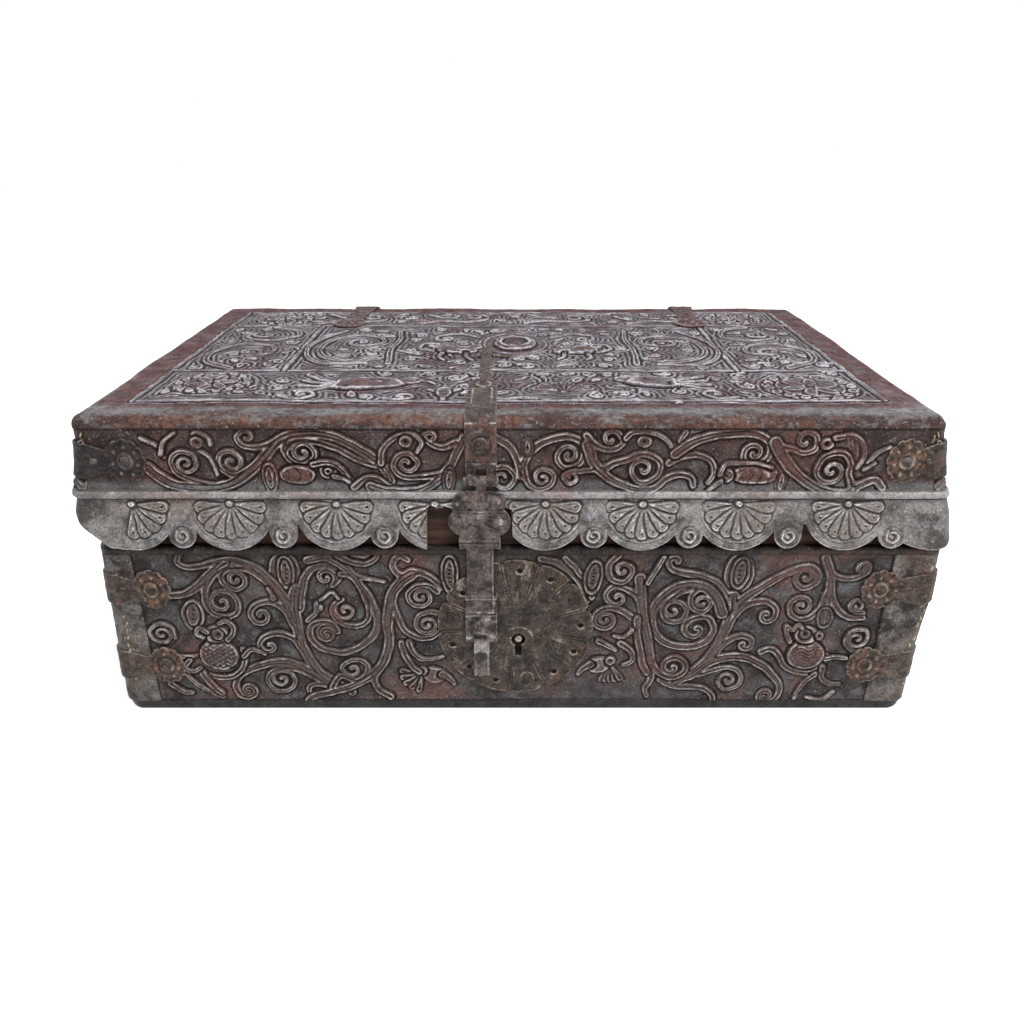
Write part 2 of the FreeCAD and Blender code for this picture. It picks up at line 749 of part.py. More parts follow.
def make_hasp_strap():
    """Strap nailed over the front of the lid, with a cross at its tip and two ears below."""
    x = hasp_x
    z_top = trunk_height + hasp_strap_iron
    front = -half_depth
    half, neck = hasp_strap_width / 2, hasp_strap_neck / 2
    top = polygon(
        [
            (x - half, front + roll_round, trunk_height),
            (x + half, front + roll_round, trunk_height),
            (x + half, front + hasp_shoulder_reach, trunk_height),
            (x + neck, front + hasp_neck_reach, trunk_height),
            (x + neck, front + hasp_strap_reach - hasp_tip_radius, trunk_height),
            (x - neck, front + hasp_strap_reach - hasp_tip_radius, trunk_height),
            (x - neck, front + hasp_neck_reach, trunk_height),
            (x - half, front + hasp_shoulder_reach, trunk_height),
        ],
        UP * hasp_strap_iron,
    )
    tip_at = V(x, front + hasp_strap_reach - hasp_tip_radius, trunk_height)
    pieces = [top, Part.makeCylinder(hasp_tip_radius, hasp_strap_iron, tip_at)]
    cross_y = front + hasp_strap_reach - hasp_cross_setback
    for sx in (-1, 1):
        end = V(x + sx * hasp_cross_half, cross_y, trunk_height)
        pieces.append(Part.makeCylinder(hasp_cross_radius, hasp_strap_iron, end))
    pieces.append(
        box(
            (x - hasp_cross_half, cross_y - hasp_cross_radius / 2, trunk_height),
            (x + hasp_cross_half, cross_y + hasp_cross_radius / 2, z_top),
        )
    )
    strap = bent_strap(x, hasp_strap_width, -1, hasp_strap_iron, tongue_slot_top)
    axis_y = front - hasp_axis_offset
    ear = (hasp_strap_width - tongue_width) / 2 - tongue_gap
    holes = []
    for x_low in (x - half, x + half - ear):
        start = V(x_low, axis_y, hasp_axis_height)
        pieces.append(Part.makeCylinder(hasp_barrel_radius, ear, start, RIGHT))
        holes.append(Part.makeCylinder(hasp_pin_radius, ear, start, RIGHT))
        pieces.append(
            box(
                (x_low, front - hasp_strap_iron, hasp_axis_height),
                (x_low + ear, front, tongue_slot_top),
            )
        )
    strap = strap.fuse(pieces).cut(holes)

    lift = UP * hasp_strap_iron
    shoulder = V(x, front + hasp_rivet_reach, trunk_height) + lift
    hasp_nails.drive(shoulder, UP, rivet_head_radius, nail_head_height)
    cross = V(x, cross_y, trunk_height) + lift
    hasp_nails.drive(cross, UP, small_nail_radius, small_nail_height)
    rivet = V(x, front - hasp_strap_iron, roll_low - hasp_rivet_drop)
    hasp_nails.drive(rivet, FRONT, rivet_head_radius, nail_head_height)
    parts["hasp_strap"] = hasp_nails.drill(strap)
    parts["hasp_strap_nails"] = Part.makeCompound(hasp_nails.solids)

    length = hasp_strap_width + 2 * hasp_pin_head_height
    start = V(x - length / 2, axis_y, hasp_axis_height)
    pin = Part.makeCylinder(hasp_pin_radius, length, start, RIGHT)
    heads = []
    for x_low in (x - length / 2, x + length / 2 - hasp_pin_head_height):
        at = V(x_low, axis_y, hasp_axis_height)
        heads.append(Part.makeCylinder(hasp_pin_head, hasp_pin_head_height, at, RIGHT))
    parts["hasp_hinge_pin"] = pin.fuse(heads)


def make_hasp():
    """Swinging hasp: lobed boss plate, long arm, knob and thumb tab, and its staple."""
    x = hasp_x + hasp_shift
    back = -half_depth - hasp_back_offset
    face = -half_depth - hasp_front_offset
    depth = FRONT * hasp_iron

    def slab(points, direction=depth, y=back):
        return polygon([(x + u, y, z) for u, z in points], direction)

    def mirrored(points):
        return points + [(-u, z) for u, z in reversed(points)]

    pieces = []
    domes = []
    for half, z, radius in (
        (upper_lobe_half, upper_lobe_height, upper_lobe_radius),
        (lower_lobe_half, lower_lobe_height, lower_lobe_radius),
    ):
        for sx in (-1, 1):
            at = V(x + sx * half, back, z)
            pieces.append(Part.makeCylinder(radius, hasp_iron, at, FRONT))
            top = V(at.x, face, z)
            domes.append(dome(top, FRONT, boss_dome_radius, boss_dome_height))
    pieces.append(
        slab(
            mirrored(
                [
                    (upper_lobe_half, boss_top),
                    (lower_lobe_half, lower_lobe_height),
                    (boss_waist_half, boss_bottom),
                    (collar_half, collar_bottom),
                ]
            )
        )
    )
    collar_low, collar_high = collar_bottom, boss_bottom
    pieces.append(
        box(
            (x - collar_half, face - collar_proud, collar_low),
            (x + collar_half, back, collar_high),
        )
    )
    pieces.append(
        slab(
            mirrored(
                [
                    (arm_half, collar_bottom),
                    (arm_half, arm_step),
                    (arm_foot_half, arm_step - arm_foot_half / 2),
                    (arm_foot_half, arm_bottom),
                ]
            )
        )
    )
    for rise in bead_rises:
        z = staple_height + rise
        pieces.append(
            box(
                (x - arm_foot_half, face - bead_proud, z - bead_half_height),
                (x + arm_foot_half, back, z + bead_half_height),
            )
        )
    knob_at = V(x, face, staple_height + knob_rise)
    domes.append(dome(knob_at, FRONT, knob_radius, knob_proud))

    # Thumb tab: a thin tongue that leans out from the foot of the arm
    tab_low = arm_bottom - tab_length
    profile = [
        (x - tab_half, back, arm_bottom),
        (x - tab_half, back - tab_iron, arm_bottom),
        (x - tab_half, back - tab_iron - tab_lift, tab_low),
        (x - tab_half, back - tab_lift, tab_low),
    ]
    pieces.append(polygon(profile, RIGHT * (2 * tab_half)))

    # Tongue that turns on the pin between the strap's ears
    axis_y = -half_depth - hasp_axis_offset
    tongue_left, tongue_right = hasp_x - tongue_width / 2, hasp_x + tongue_width / 2
    start = V(tongue_left, axis_y, hasp_axis_height)
    pieces.append(Part.makeCylinder(hasp_barrel_radius, tongue_width, start, RIGHT))
    pieces.append(
        box(
            (tongue_left, face, upper_lobe_height),
            (tongue_right, back, hasp_axis_height),
        )
    )
    bore = hasp_pin_radius + pin_clearance
    hole = Part.makeCylinder(bore, tongue_width, start, RIGHT)
    ear_room = hasp_barrel_radius + tongue_gap
    ears = box(
        (x - hasp_strap_width, face - overrun, hasp_axis_height - ear_room),
        (x + hasp_strap_width, back + overrun, hasp_axis_height + ear_room),
    ).cut(
        box(
            (tongue_left, face - overrun, hasp_axis_height - overrun),
            (tongue_right, back + overrun, hasp_axis_height + overrun),
        )
    )
    plate = pieces[0].fuse(pieces[1:] + domes).cut([hole, ears]).removeSplitter()
    parts["hasp"] = plate

    end = back + staple_depth
    staple = box(
        (x - staple_iron / 2, back, staple_height - staple_half),
        (x + staple_iron / 2, end, staple_height + staple_half),
    )
    eye = box(
        (x - staple_iron, back - overrun, staple_height - staple_half + staple_iron),
        (x + staple_iron, end - staple_iron, staple_height + staple_half - staple_iron),
    )
    parts["hasp_staple"] = staple.cut(eye)


def make_lock_plate(case_front):
    """Round lobed plate with its nail holes, keyhole and staple slot."""
    centre = V(plate_x, case_front, plate_height)
    outline = petal_outline(
        centre, plate_radius, plate_lobes, plate_lobe_depth, RIGHT, UP, plate_first_angle
    )
    plate = Part.Face(outline).extrude(FRONT * plate_iron)
    cutters = []
    circle = plate_radius - plate_hole_inset
    for k in range(plate_lobes):
        a = math.radians(plate_first_angle - k * 360 / plate_lobes)
        at = centre + (RIGHT * math.cos(a) + UP * math.sin(a)) * circle
        if k % nail_step_count == first_nail_count:
            face = at + FRONT * plate_iron
            lock_nails.drive(face, FRONT, nail_head_radius, nail_head_height)
        else:
            cutters.append(Part.makeCylinder(plate_hole_radius, plate_iron, at, FRONT))
    key = V(keyhole_x, case_front, keyhole_height)
    cutters.append(Part.makeCylinder(keyhole_radius, plate_iron, key, FRONT))
    cutters.append(
        box(
            (keyhole_x - keyhole_slot_half, case_front - plate_iron, keyhole_bottom),
            (keyhole_x + keyhole_slot_half, case_front, keyhole_height),
        )
    )
    slot_x = staple_iron / 2 + slot_side_gap
    slot_z = staple_half + slot_end_gap
    staple_x = hasp_x + hasp_shift
    cutters.append(
        box(
            (staple_x - slot_x, case_front - plate_iron, staple_height - slot_z),
            (staple_x + slot_x, case_front, staple_height + slot_z),
        )
    )
    parts["lock_plate"] = lock_nails.drill(plate.cut(cutters))
    parts["lock_plate_nails"] = Part.makeCompound(lock_nails.solids)


def make_lock():
    """Lock behind the plate: case, bolt in two guides, leaf spring and key pin."""
    plate_back = -half_depth
    case_back = -inner_y + case_iron
    make_lock_plate(plate_back)

    room = box(
        (case_left - case_fit, plate_back - overrun, case_low - case_fit),
        (case_right + case_fit, -inner_y + overrun, case_high + case_fit),
    )
    for name in ("base_front_leather", "base_front_board"):
        parts[name] = parts[name].cut(room)

    case = box((case_left, plate_back, case_low), (case_right, case_back, case_high))
    hollow = box(
        (case_left + case_iron, plate_back - overrun, case_low + case_iron),
        (case_right - case_iron, case_back - case_iron, case_high - case_iron),
    )
    parts["lock_case"] = case.cut(hollow)

    # The bolt slides to the left, through the staple's eye
    wall = case_back - case_iron
    bolt_y = wall - bolt_back_gap - bolt_half_depth
    tip = hasp_x + hasp_shift + staple_iron / 2 + bolt_tip_gap
    low, high = staple_height - bolt_half_height, staple_height + bolt_half_height
    bolt = box(
        (tip, bolt_y - bolt_half_depth, low), (bolt_right, bolt_y + bolt_half_depth, high)
    )
    talons = []
    for sx in (-1, 1):
        middle = keyhole_x + sx * (talon_half_gap + talon_width / 2)
        talons.append(
            box(
                (middle - talon_width / 2, bolt_y - bolt_half_depth, low - talon_drop),
                (middle + talon_width / 2, bolt_y + bolt_half_depth, low),
            )
        )
    parts["lock_bolt"] = bolt.fuse(talons).removeSplitter()

    # Guides: bridges on the case's back plate
    guides = []
    for x in guide_places:
        half = guide_width / 2
        y_in, y_out = bolt_y - bolt_half_depth - guide_fit, wall
        outer = box(
            (x - half, y_in - guide_iron, low - guide_fit - guide_iron),
            (x + half, y_out, high + guide_fit + guide_iron),
        )
        way = box(
            (x - half - overrun, y_in, low - guide_fit),
            (x + half + overrun, bolt_y + bolt_half_depth + guide_fit, high + guide_fit),
        )
        guides.append(outer.cut(way))
    parts["lock_bolt_guides"] = Part.makeCompound(guides)

    # Key pin stands on the back plate, in line with the round of the keyhole
    pin_end = plate_back - plate_iron + key_pin_setback
    parts["lock_key_pin"] = Part.makeCylinder(
        key_pin_radius, wall - pin_end, V(keyhole_x, wall, keyhole_height), FRONT
    )

    # Leaf spring leans on the top of the bolt
    rest = high + guide_fit + guide_iron + spring_gap
    foot = rest + spring_rise
    outline = [
        (spring_foot_x, foot),
        (spring_foot_x - spring_iron, foot),
        (spring_foot_x - spring_iron, rest + spring_iron),
        (spring_bend_x, rest + spring_iron),
        (spring_tip_x, high + spring_gap + spring_iron),
        (spring_tip_x, high + spring_gap),
        (spring_tip_x + spring_iron, high + spring_gap),
        (spring_bend_x, rest),
        (spring_foot_x, rest),
    ]
    leaf = polygon(
        [(x, bolt_y - spring_half_depth, z) for x, z in outline],
        BACK * (2 * spring_half_depth),
    )
    block = box(
        (spring_foot_x, bolt_y - spring_half_depth, foot - spring_rise / 2),
        (case_right - case_iron, wall, foot),
    )
    parts["lock_spring"] = leaf.fuse(block).removeSplitter()


def drill_layers():
    """Every nail's hole in the leather and the boards under it."""
    lid_names = [n for n in parts if n.startswith("lid_") and "strap" not in n]
    base_names = [n for n in parts if n.startswith("base_") and "strap" not in n]
    for name in lid_names:
        parts[name] = hasp_nails.drill(lid_nails.drill(parts[name]))
    for name in base_names:
        parts[name] = lock_nails.drill(base_nails.drill(parts[name]))
    parts["lid_strap_nails"] = Part.makeCompound(lid_nails.solids)
    parts["base_strap_nails"] = Part.makeCompound(base_nails.solids)


def main():
    make_boards()
    make_base_leather()
    make_lid_leather()
    make_skirt()
    make_straps()
    make_hasp_strap()
    make_hasp()
    make_lock()
    drill_layers()
    os.makedirs("parts", exist_ok=True)
    for name in sorted(parts):
        shape = parts[name]
        if not shape.isValid():
            print("not valid:", name)
        print(f"{name}: {len(shape.Solids)} solids, {shape.Volume / 1000:.1f} cm3")
        shape.exportStep(f"parts/{name}.step")
    print(len(parts), "nodes")


main()
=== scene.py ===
import math

import bmesh
import bpy
import numpy as np
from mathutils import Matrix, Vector


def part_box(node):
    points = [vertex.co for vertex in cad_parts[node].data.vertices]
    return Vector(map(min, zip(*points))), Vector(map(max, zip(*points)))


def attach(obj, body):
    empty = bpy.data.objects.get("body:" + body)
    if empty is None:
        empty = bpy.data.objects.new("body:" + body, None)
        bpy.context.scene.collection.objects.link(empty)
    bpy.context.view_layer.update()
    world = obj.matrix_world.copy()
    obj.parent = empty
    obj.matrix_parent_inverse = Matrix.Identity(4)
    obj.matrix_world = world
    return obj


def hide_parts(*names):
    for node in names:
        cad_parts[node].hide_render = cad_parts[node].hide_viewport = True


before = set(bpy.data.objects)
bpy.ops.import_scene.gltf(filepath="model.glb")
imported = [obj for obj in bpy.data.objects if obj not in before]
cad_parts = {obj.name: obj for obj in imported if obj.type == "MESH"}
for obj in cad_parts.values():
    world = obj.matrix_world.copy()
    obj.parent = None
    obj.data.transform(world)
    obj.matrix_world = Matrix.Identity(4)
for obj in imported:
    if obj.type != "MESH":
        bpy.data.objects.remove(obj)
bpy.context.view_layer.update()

# Tables of places on the trunk are in millimetres, measured as on the object:
# x from its middle, z from the floor, y from its middle to the back.
MM = 0.001


def low_of(node):
    return [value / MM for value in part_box(node)[0]]


def high_of(node):
    return [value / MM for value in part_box(node)[1]]


# Sizes that the solids give
half_width = high_of("base_right_leather")[0]
half_depth = -low_of("base_front_leather")[1]
pan_top = high_of("base_bottom_leather")[2]
leather_top = high_of("base_front_leather")[2]
panel_half = high_of("base_front_leather")[0]
side_half = high_of("base_left_leather")[1]
back_top = high_of("base_back_leather")[2]
edge_top = high_of("base_edge_strips")[2]
hem_low = low_of("lid_front_skirt")[2]
skirt_top = high_of("lid_front_skirt")[2]
side_skirt_half = high_of("lid_right_skirt")[1]
welt_top = high_of("lid_welts")[2]
lid_back_low = low_of("lid_back_leather")[2]
roll_low = low_of("lid_top_leather")[2]
lid_top = high_of("lid_top_leather")[2]
roll = lid_top - roll_low
lid_seam = high_of("lid_front_leather")[0]

# Sizes of the hide and of the places round the lock
corner_round = 12.0
hide = 5.0
skirt_hide = 4.0
plate_middle = (2.3, 91.0)
keyhole = (5.4, 79.0)


# Noise and smooth steps

def lattice_noise(u, v, scale, seed):
    """Smooth value noise from -1 to 1 with features of one size, in millimetres."""
    size = 128
    table = np.random.RandomState(seed).rand(size, size) * 2 - 1
    fu, fv = u / scale, v / scale
    iu, iv = np.floor(fu).astype(int), np.floor(fv).astype(int)
    tu, tv = fu - iu, fv - iv
    tu, tv = tu * tu * (3 - 2 * tu), tv * tv * (3 - 2 * tv)
    a = table[iu % size, iv % size]
    b = table[(iu + 1) % size, iv % size]
    c = table[iu % size, (iv + 1) % size]
    d = table[(iu + 1) % size, (iv + 1) % size]
    return (a * (1 - tu) + b * tu) * (1 - tv) + (c * (1 - tu) + d * tu) * tv


def rough(u, v, scale, seed, octaves=3):
    """Sum of noises, each half the size and half the height of the one before."""
    total = np.zeros(np.broadcast(u, v).shape)
    for k in range(octaves):
        total += lattice_noise(u + 31 * k, v + 17 * k, scale / 2**k, seed + k) / 2**k
    return total


def step_up(low, high, value):
    """Smooth step from 0 to 1."""
    t = np.clip((value - low) / (high - low), 0, 1)
    return t * t * (3 - 2 * t)


def band(distance, half):
    """1 on a line, falling off to both sides."""
    return np.exp(-((distance / half) ** 2))


def rounded(distance, soft):
    """Rise of a rounded edge, from 0 at the edge to 1 at the given distance from it."""
    return np.sqrt(np.clip(1 - (1 - np.clip(distance / soft, 0, 1)) ** 2, 0, 1))


def blur(field, cells):
    """Box blur of a height map, twice."""
    span = 2 * cells + 1
    for _ in range(2):
        for axis in (0, 1):
            pad = [(0, 0), (0, 0)]
            pad[axis] = (cells + 1, cells)
            sums = np.cumsum(np.pad(field, pad, mode="edge"), axis=axis)
            size = field.shape[axis]
            high = np.take(sums, np.arange(span, span + size), axis=axis)
            field = (high - np.take(sums, np.arange(size), axis=axis)) / span
    return field


# Tooling: height maps that strokes are drawn into

def spline(points, step=0.7):
    """Dense smooth line through given points."""
    p = np.array(points, float)
    if len(p) == 2:
        count = max(2, int(np.hypot(*(p[1] - p[0])) / step))
        return p[0] + np.linspace(0, 1, count)[:, None] * (p[1] - p[0])
    p = np.vstack([2 * p[0] - p[1], p, 2 * p[-1] - p[-2]])
    out = []
    for a, b, c, d in zip(p, p[1:], p[2:], p[3:]):
        count = max(2, int(np.hypot(*(c - b)) / step))
        t = np.linspace(0, 1, count, endpoint=False)[:, None]
        out.append(b + (c - a) * t / 2 + (2 * a - 5 * b + 4 * c - d) * t**2 / 2
                   + (3 * b - a - 3 * c + d) * t**3 / 2)
    out.append(p[-2:-1])
    return np.vstack(out)


def round_about(centre, radius, angle):
    """Place on a circle, at an angle in radians."""
    return centre[0] + radius * math.cos(angle), centre[1] + radius * math.sin(angle)


def curl(start, centre, turns, end_radius):
    """Spiral in from a point towards a centre; positive turns go from +u to +v."""
    dx, dy = start[0] - centre[0], start[1] - centre[1]
    radius, angle = math.hypot(dx, dy), math.atan2(dy, dx)
    count = max(4, int(abs(turns) * 10))
    points = []
    for k in range(1, count + 1):
        share = k / count
        points.append(round_about(centre, radius + (end_radius - radius) * share,
                                  angle + 2 * math.pi * turns * share))
    return points


class Tooling:
    """Height map of one panel, in millimetres."""

    rim_in = 1.15  # a stem's raised rim lies this far inside its edge
    rim_half = 0.68
    cut_out = 1.1  # the cut round a stem lies this far outside its edge
    cut_half = 0.95
    merge = 2.4  # stems of one group run into each other over this distance
    inner_from = (1.7, 2.4)  # further in than this a stem carries finer ridges of this pitch
    inner_pitch = 2.9
    inner_share = 0.5
    body_share = 0.2
    width_share = 1.0
    reach = 5  # distances are worked out this far round a form
    nowhere = -99.0  # distance where no form is near
    tip_points, tip_swell = 7, 1.3  # a curl is thicker at its last points
    fan_rim_in, fan_rim_half = 0.75, 0.5  # the rims of a fan's petals
    wear_span = 2.6  # what stands out is judged over this distance
    fill_chance = 1.0  # share of the empty places that fill() uses

    def __init__(self, u_low, u_high, v_low, v_high, pitch, depth=1.0):
        self.pitch = pitch
        self.depth = depth
        self.u = np.arange(u_low, u_high + pitch, pitch)
        self.v = np.arange(v_low, v_high + pitch, pitch)
        self.h = np.zeros((len(self.u), len(self.v)))
        self.near = np.full(self.h.shape, self.nowhere)
        self.group = None

    def grid(self):
        return np.broadcast_arrays(self.u[:, None], self.v[None, :])

    def window(self, low, high, margin):
        """Index ranges of the cells round a box."""
        spans = []
        for k, line in enumerate((self.u, self.v)):
            a = int((low[k] - margin - line[0]) / self.pitch)
            b = int((high[k] + margin - line[0]) / self.pitch) + 2
            spans.append(slice(max(a, 0), max(min(b, len(line)), 0)))
        return tuple(spans)

    def around(self, centre, reach, margin):
        """Cells round a point, and their places seen from it."""
        spans = self.window(np.array(centre) - reach, np.array(centre) + reach, margin)
        return spans, self.u[spans[0]][:, None] - centre[0], self.v[spans[1]][None, :] - centre[1]

    def cover(self, spans, form, share):
        """Put a form in the place of what is there, where its share is 1."""
        self.h[spans] = self.h[spans] * (1 - share) + form * share

    def lay(self, spans, edge, height, lift=0.25, dome=0.0, body=False):
        """Lay a raised form over what is there; edge is the distance inside its outline."""
        height, lift, dome = (value * self.depth for value in (height, lift, dome))
        form = (height * band(edge - self.rim_in, self.rim_half)
                + lift * step_up(-0.3, 0.8, edge)
                + dome * (1 - np.exp(-np.clip(edge, 0, None) / 3.0)))
        form = form - 0.95 * height * band(edge + self.cut_out, self.cut_half)
        if body:
            inner = np.cos(2 * math.pi * (edge - self.rim_in) / self.inner_pitch)
            form = form + height * step_up(*self.inner_from, edge) * (
                self.body_share + self.inner_share * inner)
        self.cover(spans, form, step_up(-2.3, -0.6, edge))
        self.near[spans] = np.maximum(self.near[spans], edge)

    def echo(self, pitch, amount, reach, seed):
        """Fine lines that run round every form, further and further out."""
        away = -self.near
        u, v = self.grid()
        wobble = 1.4 * rough(u, v, 22, seed, 2)
        lines = np.cos(2 * math.pi * (away - 1.1 + wobble) / pitch)
        mask = step_up(1.6, 2.6, away) * (1 - step_up(reach - 3, reach, away))
        uneven = 0.75 + 0.5 * lattice_noise(u, v, 12, seed + 3)
        self.h -= self.depth * amount * mask * lines * uneven

    def nearest(self, path, widths, reach):
        """Distance inside a stroke's edge for the cells round it."""
        spans = self.window(path.min(0), path.max(0), reach)
        u, v = self.u[spans[0]][:, None], self.v[spans[1]][None, :]
        edge = np.full((u.shape[0], v.shape[1]), self.nowhere)
        chunk = 6
        for k in range(0, len(path) - 1, chunk):
            piece = path[k : k + chunk + 1]
            near = self.window(piece.min(0), piece.max(0), reach)
            a, b = (slice(inner.start - outer.start, inner.stop - outer.start)
                    for inner, outer in zip(near, spans))
            if a.stop <= a.start or b.stop <= b.start:
                continue
            pu, pv = u[a], v[:, b]
            local = edge[a, b]
            for p, q, w in zip(piece, piece[1:], widths[k : k + chunk + 1]):
                d = q - p
                length = max(d @ d, 1e-9)
                t = np.clip(((pu - p[0]) * d[0] + (pv - p[1]) * d[1]) / length, 0, 1)
                gap = np.hypot(pu - p[0] - t * d[0], pv - p[1] - t * d[1])
                local = np.maximum(local, w - gap)
            edge[a, b] = local
        return spans, edge

    def stem(self, points, start, end, centre=None, turns=1.0, tip=1.6, height=1.0, lift=0.25):
        """Raised stem with two rims, from one half width to another, that may end in a curl."""
        points = list(points)
        if centre is not None:
            points = points + curl(points[-1], centre, turns, tip)
        path = spline(points)
        widths = np.linspace(start, end, len(path)) * self.width_share
        if centre is not None:
            tip_widths = widths[-self.tip_points:]
            widths[-self.tip_points:] = np.maximum(tip_widths, end * self.tip_swell)
        spans, edge = self.nearest(path, widths, max(start, end) + self.reach)
        if self.group is None:
            self.lay(spans, edge, height, lift, body=True)
            return
        old_edge = self.group[spans]
        web = np.clip(self.merge - np.abs(edge - old_edge), 0, None) ** 2 / (4 * self.merge)
        both = np.minimum(edge, old_edge) > -4
        self.group[spans] = np.maximum(edge, old_edge) + np.where(both, web, 0)

    def grow(self):
        """Stems drawn until settle() grow out of each other."""
        self.group = np.full(self.h.shape, self.nowhere)

    def settle(self):
        edge, self.group = self.group, None
        self.lay((slice(None), slice(None)), edge, 1.0, body=True)

    def line(self, points, half, margin):
        """Distance inside the edge of a line of one width."""
        path = spline(points)
        return self.nearest(path, np.full(len(path), half), half + margin)

    def ridge(self, points, half, height):
        """Thin single ridge between two cuts."""
        spans, edge = self.line(points, half, 4)
        bump = band(np.clip(half - edge, 0, None), half + 0.35)
        cut = band(edge + 1.1, 0.8)
        form = (height * bump - 0.7 * height * cut) * self.depth
        self.cover(spans, form, step_up(-2.2, -0.9, edge))

    def cut(self, points, half, depth):
        """Incised line."""
        spans, edge = self.line(points, half, 3)
        groove = band(np.clip(half - edge, 0, None), half + 0.3)
        self.h[spans] -= depth * self.depth * groove

    def oval(self, centre, half_u, half_v, lean=0.0, height=1.0, lift=0.3, dome=0.0):
        """Raised oval with a rim."""
        spans, u, v = self.around(centre, max(half_u, half_v), self.reach)
        a = math.radians(lean)
        p = (u * math.cos(a) + v * math.sin(a)) / half_u
        q = (v * math.cos(a) - u * math.sin(a)) / half_v
        rho = np.sqrt(p * p + q * q)
        steep = np.sqrt((half_v * p) ** 2 + (half_u * q) ** 2) / np.maximum(rho, 1e-6)
        edge = (1 - rho) * (half_u * half_v) / np.maximum(steep, 1e-6)
        self.lay(spans, edge, height, lift, dome)

    def dot(self, centre, radius=1.1, depth=1.3, rim_height=0.5):
        """Pit with a raised rim."""
        spans, u, v = self.around(centre, radius + 2, 1)
        r = np.hypot(u, v)
        ring = band(r - radius * 1.5, 0.6)
        self.h[spans] += self.depth * (rim_height * ring - depth * band(r, radius))

    def pod(self, centre, half_u, half_v, lean=0.0, dots=3):
        """Seed pod: an outlined oval in an outlined oval, with seeds in a row."""
        self.oval(centre, half_u, half_v, lean)
        self.oval(centre, half_u * 0.58, half_v * 0.72, lean, height=0.8, lift=0.1)
        a = math.radians(lean)
        for k in range(dots):
            along = half_v * 0.5 * ((k + 0.5) / dots * 2 - 1)
            self.dot((centre[0] - along * math.sin(a), centre[1] + along * math.cos(a)))

    def eye(self, centre, half_u, half_v, pupil=1.6, lift=0.2):
        """Ring with a pit in it."""
        self.oval(centre, half_u, half_v, 0, 0.9, lift)
        self.dot(centre, pupil, 1.2, 0.2)

    def fan(self, centre, radius, petals, low, high):
        """Palmette: drop-shaped petals round a small hub, each with a seed at its end."""
        hub = 4.0
        rims = self.rim_in, self.rim_half
        self.rim_in, self.rim_half = self.fan_rim_in, self.fan_rim_half
        wide = radius * math.radians(abs(high - low)) / (petals - 1) * 0.46
        for k in range(petals):
            a = math.radians(low + (high - low) * k / (petals - 1))
            self.stem([round_about(centre, hub, a), round_about(centre, radius - wide, a)],
                      0.5, wide, height=0.8, lift=0.15)
            self.dot(round_about(centre, radius - wide * 0.9, a), 1.2, 1.3, 0.5)
        self.oval(centre, 3.0, 2.6, 0, 0.7, 0.2, 0.2)
        self.rim_in, self.rim_half = rims

    def finish(self, seed, lumps=0.45, grain=0.16):
        """Unevenness of old hand-tooled leather over the whole panel."""
        u, v = self.grid()
        shift = 0.5 * rough(u, v, 9.0, seed + 21, 2)
        warped_u, warped_v = u + shift, v + 0.8 * np.roll(shift, 37, 0)
        self.h = self.sample(warped_u, warped_v)
        self.near = self.sample(warped_u, warped_v, np.clip(self.near, -9, 9))
        self.h = self.h * (0.95 + 0.3 * lattice_noise(u, v, 26, seed + 5)
                           + 0.25 * lattice_noise(u, v, 7, seed + 6))
        self.h += lumps * rough(u, v, 55, seed) + grain * rough(u, v, 4.0, seed + 11, 2)
        return self

    def fill(self, seed, spacing, radius, half):
        """Small curls, leaves and seeds wherever the ground is still empty."""
        pick = np.random.RandomState(seed)
        for u in np.arange(self.u[0] + spacing, self.u[-1] - spacing / 2, spacing):
            for v in np.arange(self.v[0] + spacing, self.v[-1] - spacing / 2, spacing):
                middle = tuple(np.array([u, v]) + spacing * 0.35 * (pick.rand(2) * 2 - 1))
                r = radius * (0.75 + 0.5 * pick.rand())
                kind, angle, side = pick.rand(), pick.rand() * 2 * math.pi, pick.choice([-1, 1])
                spans, _, _ = self.around(middle, r, 0)
                here = self.h[spans]
                taken = not here.size or np.mean(np.abs(here) > 0.05) > 0.12
                if taken or pick.rand() > self.fill_chance:
                    continue
                start = round_about(middle, r, angle)
                if kind < 0.6:
                    tail = round_about(middle, 1.5 * r, angle - 1.2 * side)
                    self.stem([tail, start], half, half * 0.8, middle, 1.3 * side, half * 0.8)
                elif kind < 0.8:
                    self.oval(middle, r, r * 0.55, math.degrees(angle), 1.0, 0.3, 0.5)
                    self.dot(middle)
                else:
                    bend = round_about(middle, 0.3 * r, angle + 1.57)
                    self.stem([round_about(middle, -r, angle), bend, start], half, half * 0.7)

    def sample(self, u, v, field=None):
        """Height, or another field of the same grid, between the cells."""
        field = self.h if field is None else field
        fu = np.clip((u - self.u[0]) / self.pitch, 0, len(self.u) - 1.001)
        fv = np.clip((v - self.v[0]) / self.pitch, 0, len(self.v) - 1.001)
        iu, iv = fu.astype(int), fv.astype(int)
        tu, tv = fu - iu, fv - iv
        top = field[iu, iv] * (1 - tu) + field[iu + 1, iv] * tu
        far = field[iu, iv + 1] * (1 - tu) + field[iu + 1, iv + 1] * tu
        outside = np.maximum(self.v[0] - v, v - self.v[-1])
        return (top * (1 - tv) + far * tv) * (1 - step_up(1.5, 4, outside))

    def form(self):
        """1 on the raised forms, 0 on the ground between them."""
        return step_up(-0.8, 0.9, self.near)

    def wear_and_shading(self):
        """How far each place stands out of its surroundings, from -1 to 1; the materials make what
        stands out paler, as rubbed wear and painted highlight, and what lies sunk black, as painted
        shade.
        """
        cells = max(1, int(round(self.wear_span / self.pitch)))
        return np.clip((self.h - blur(self.h, cells)) / (0.62 * self.depth), -1, 1)


# Meshes and objects

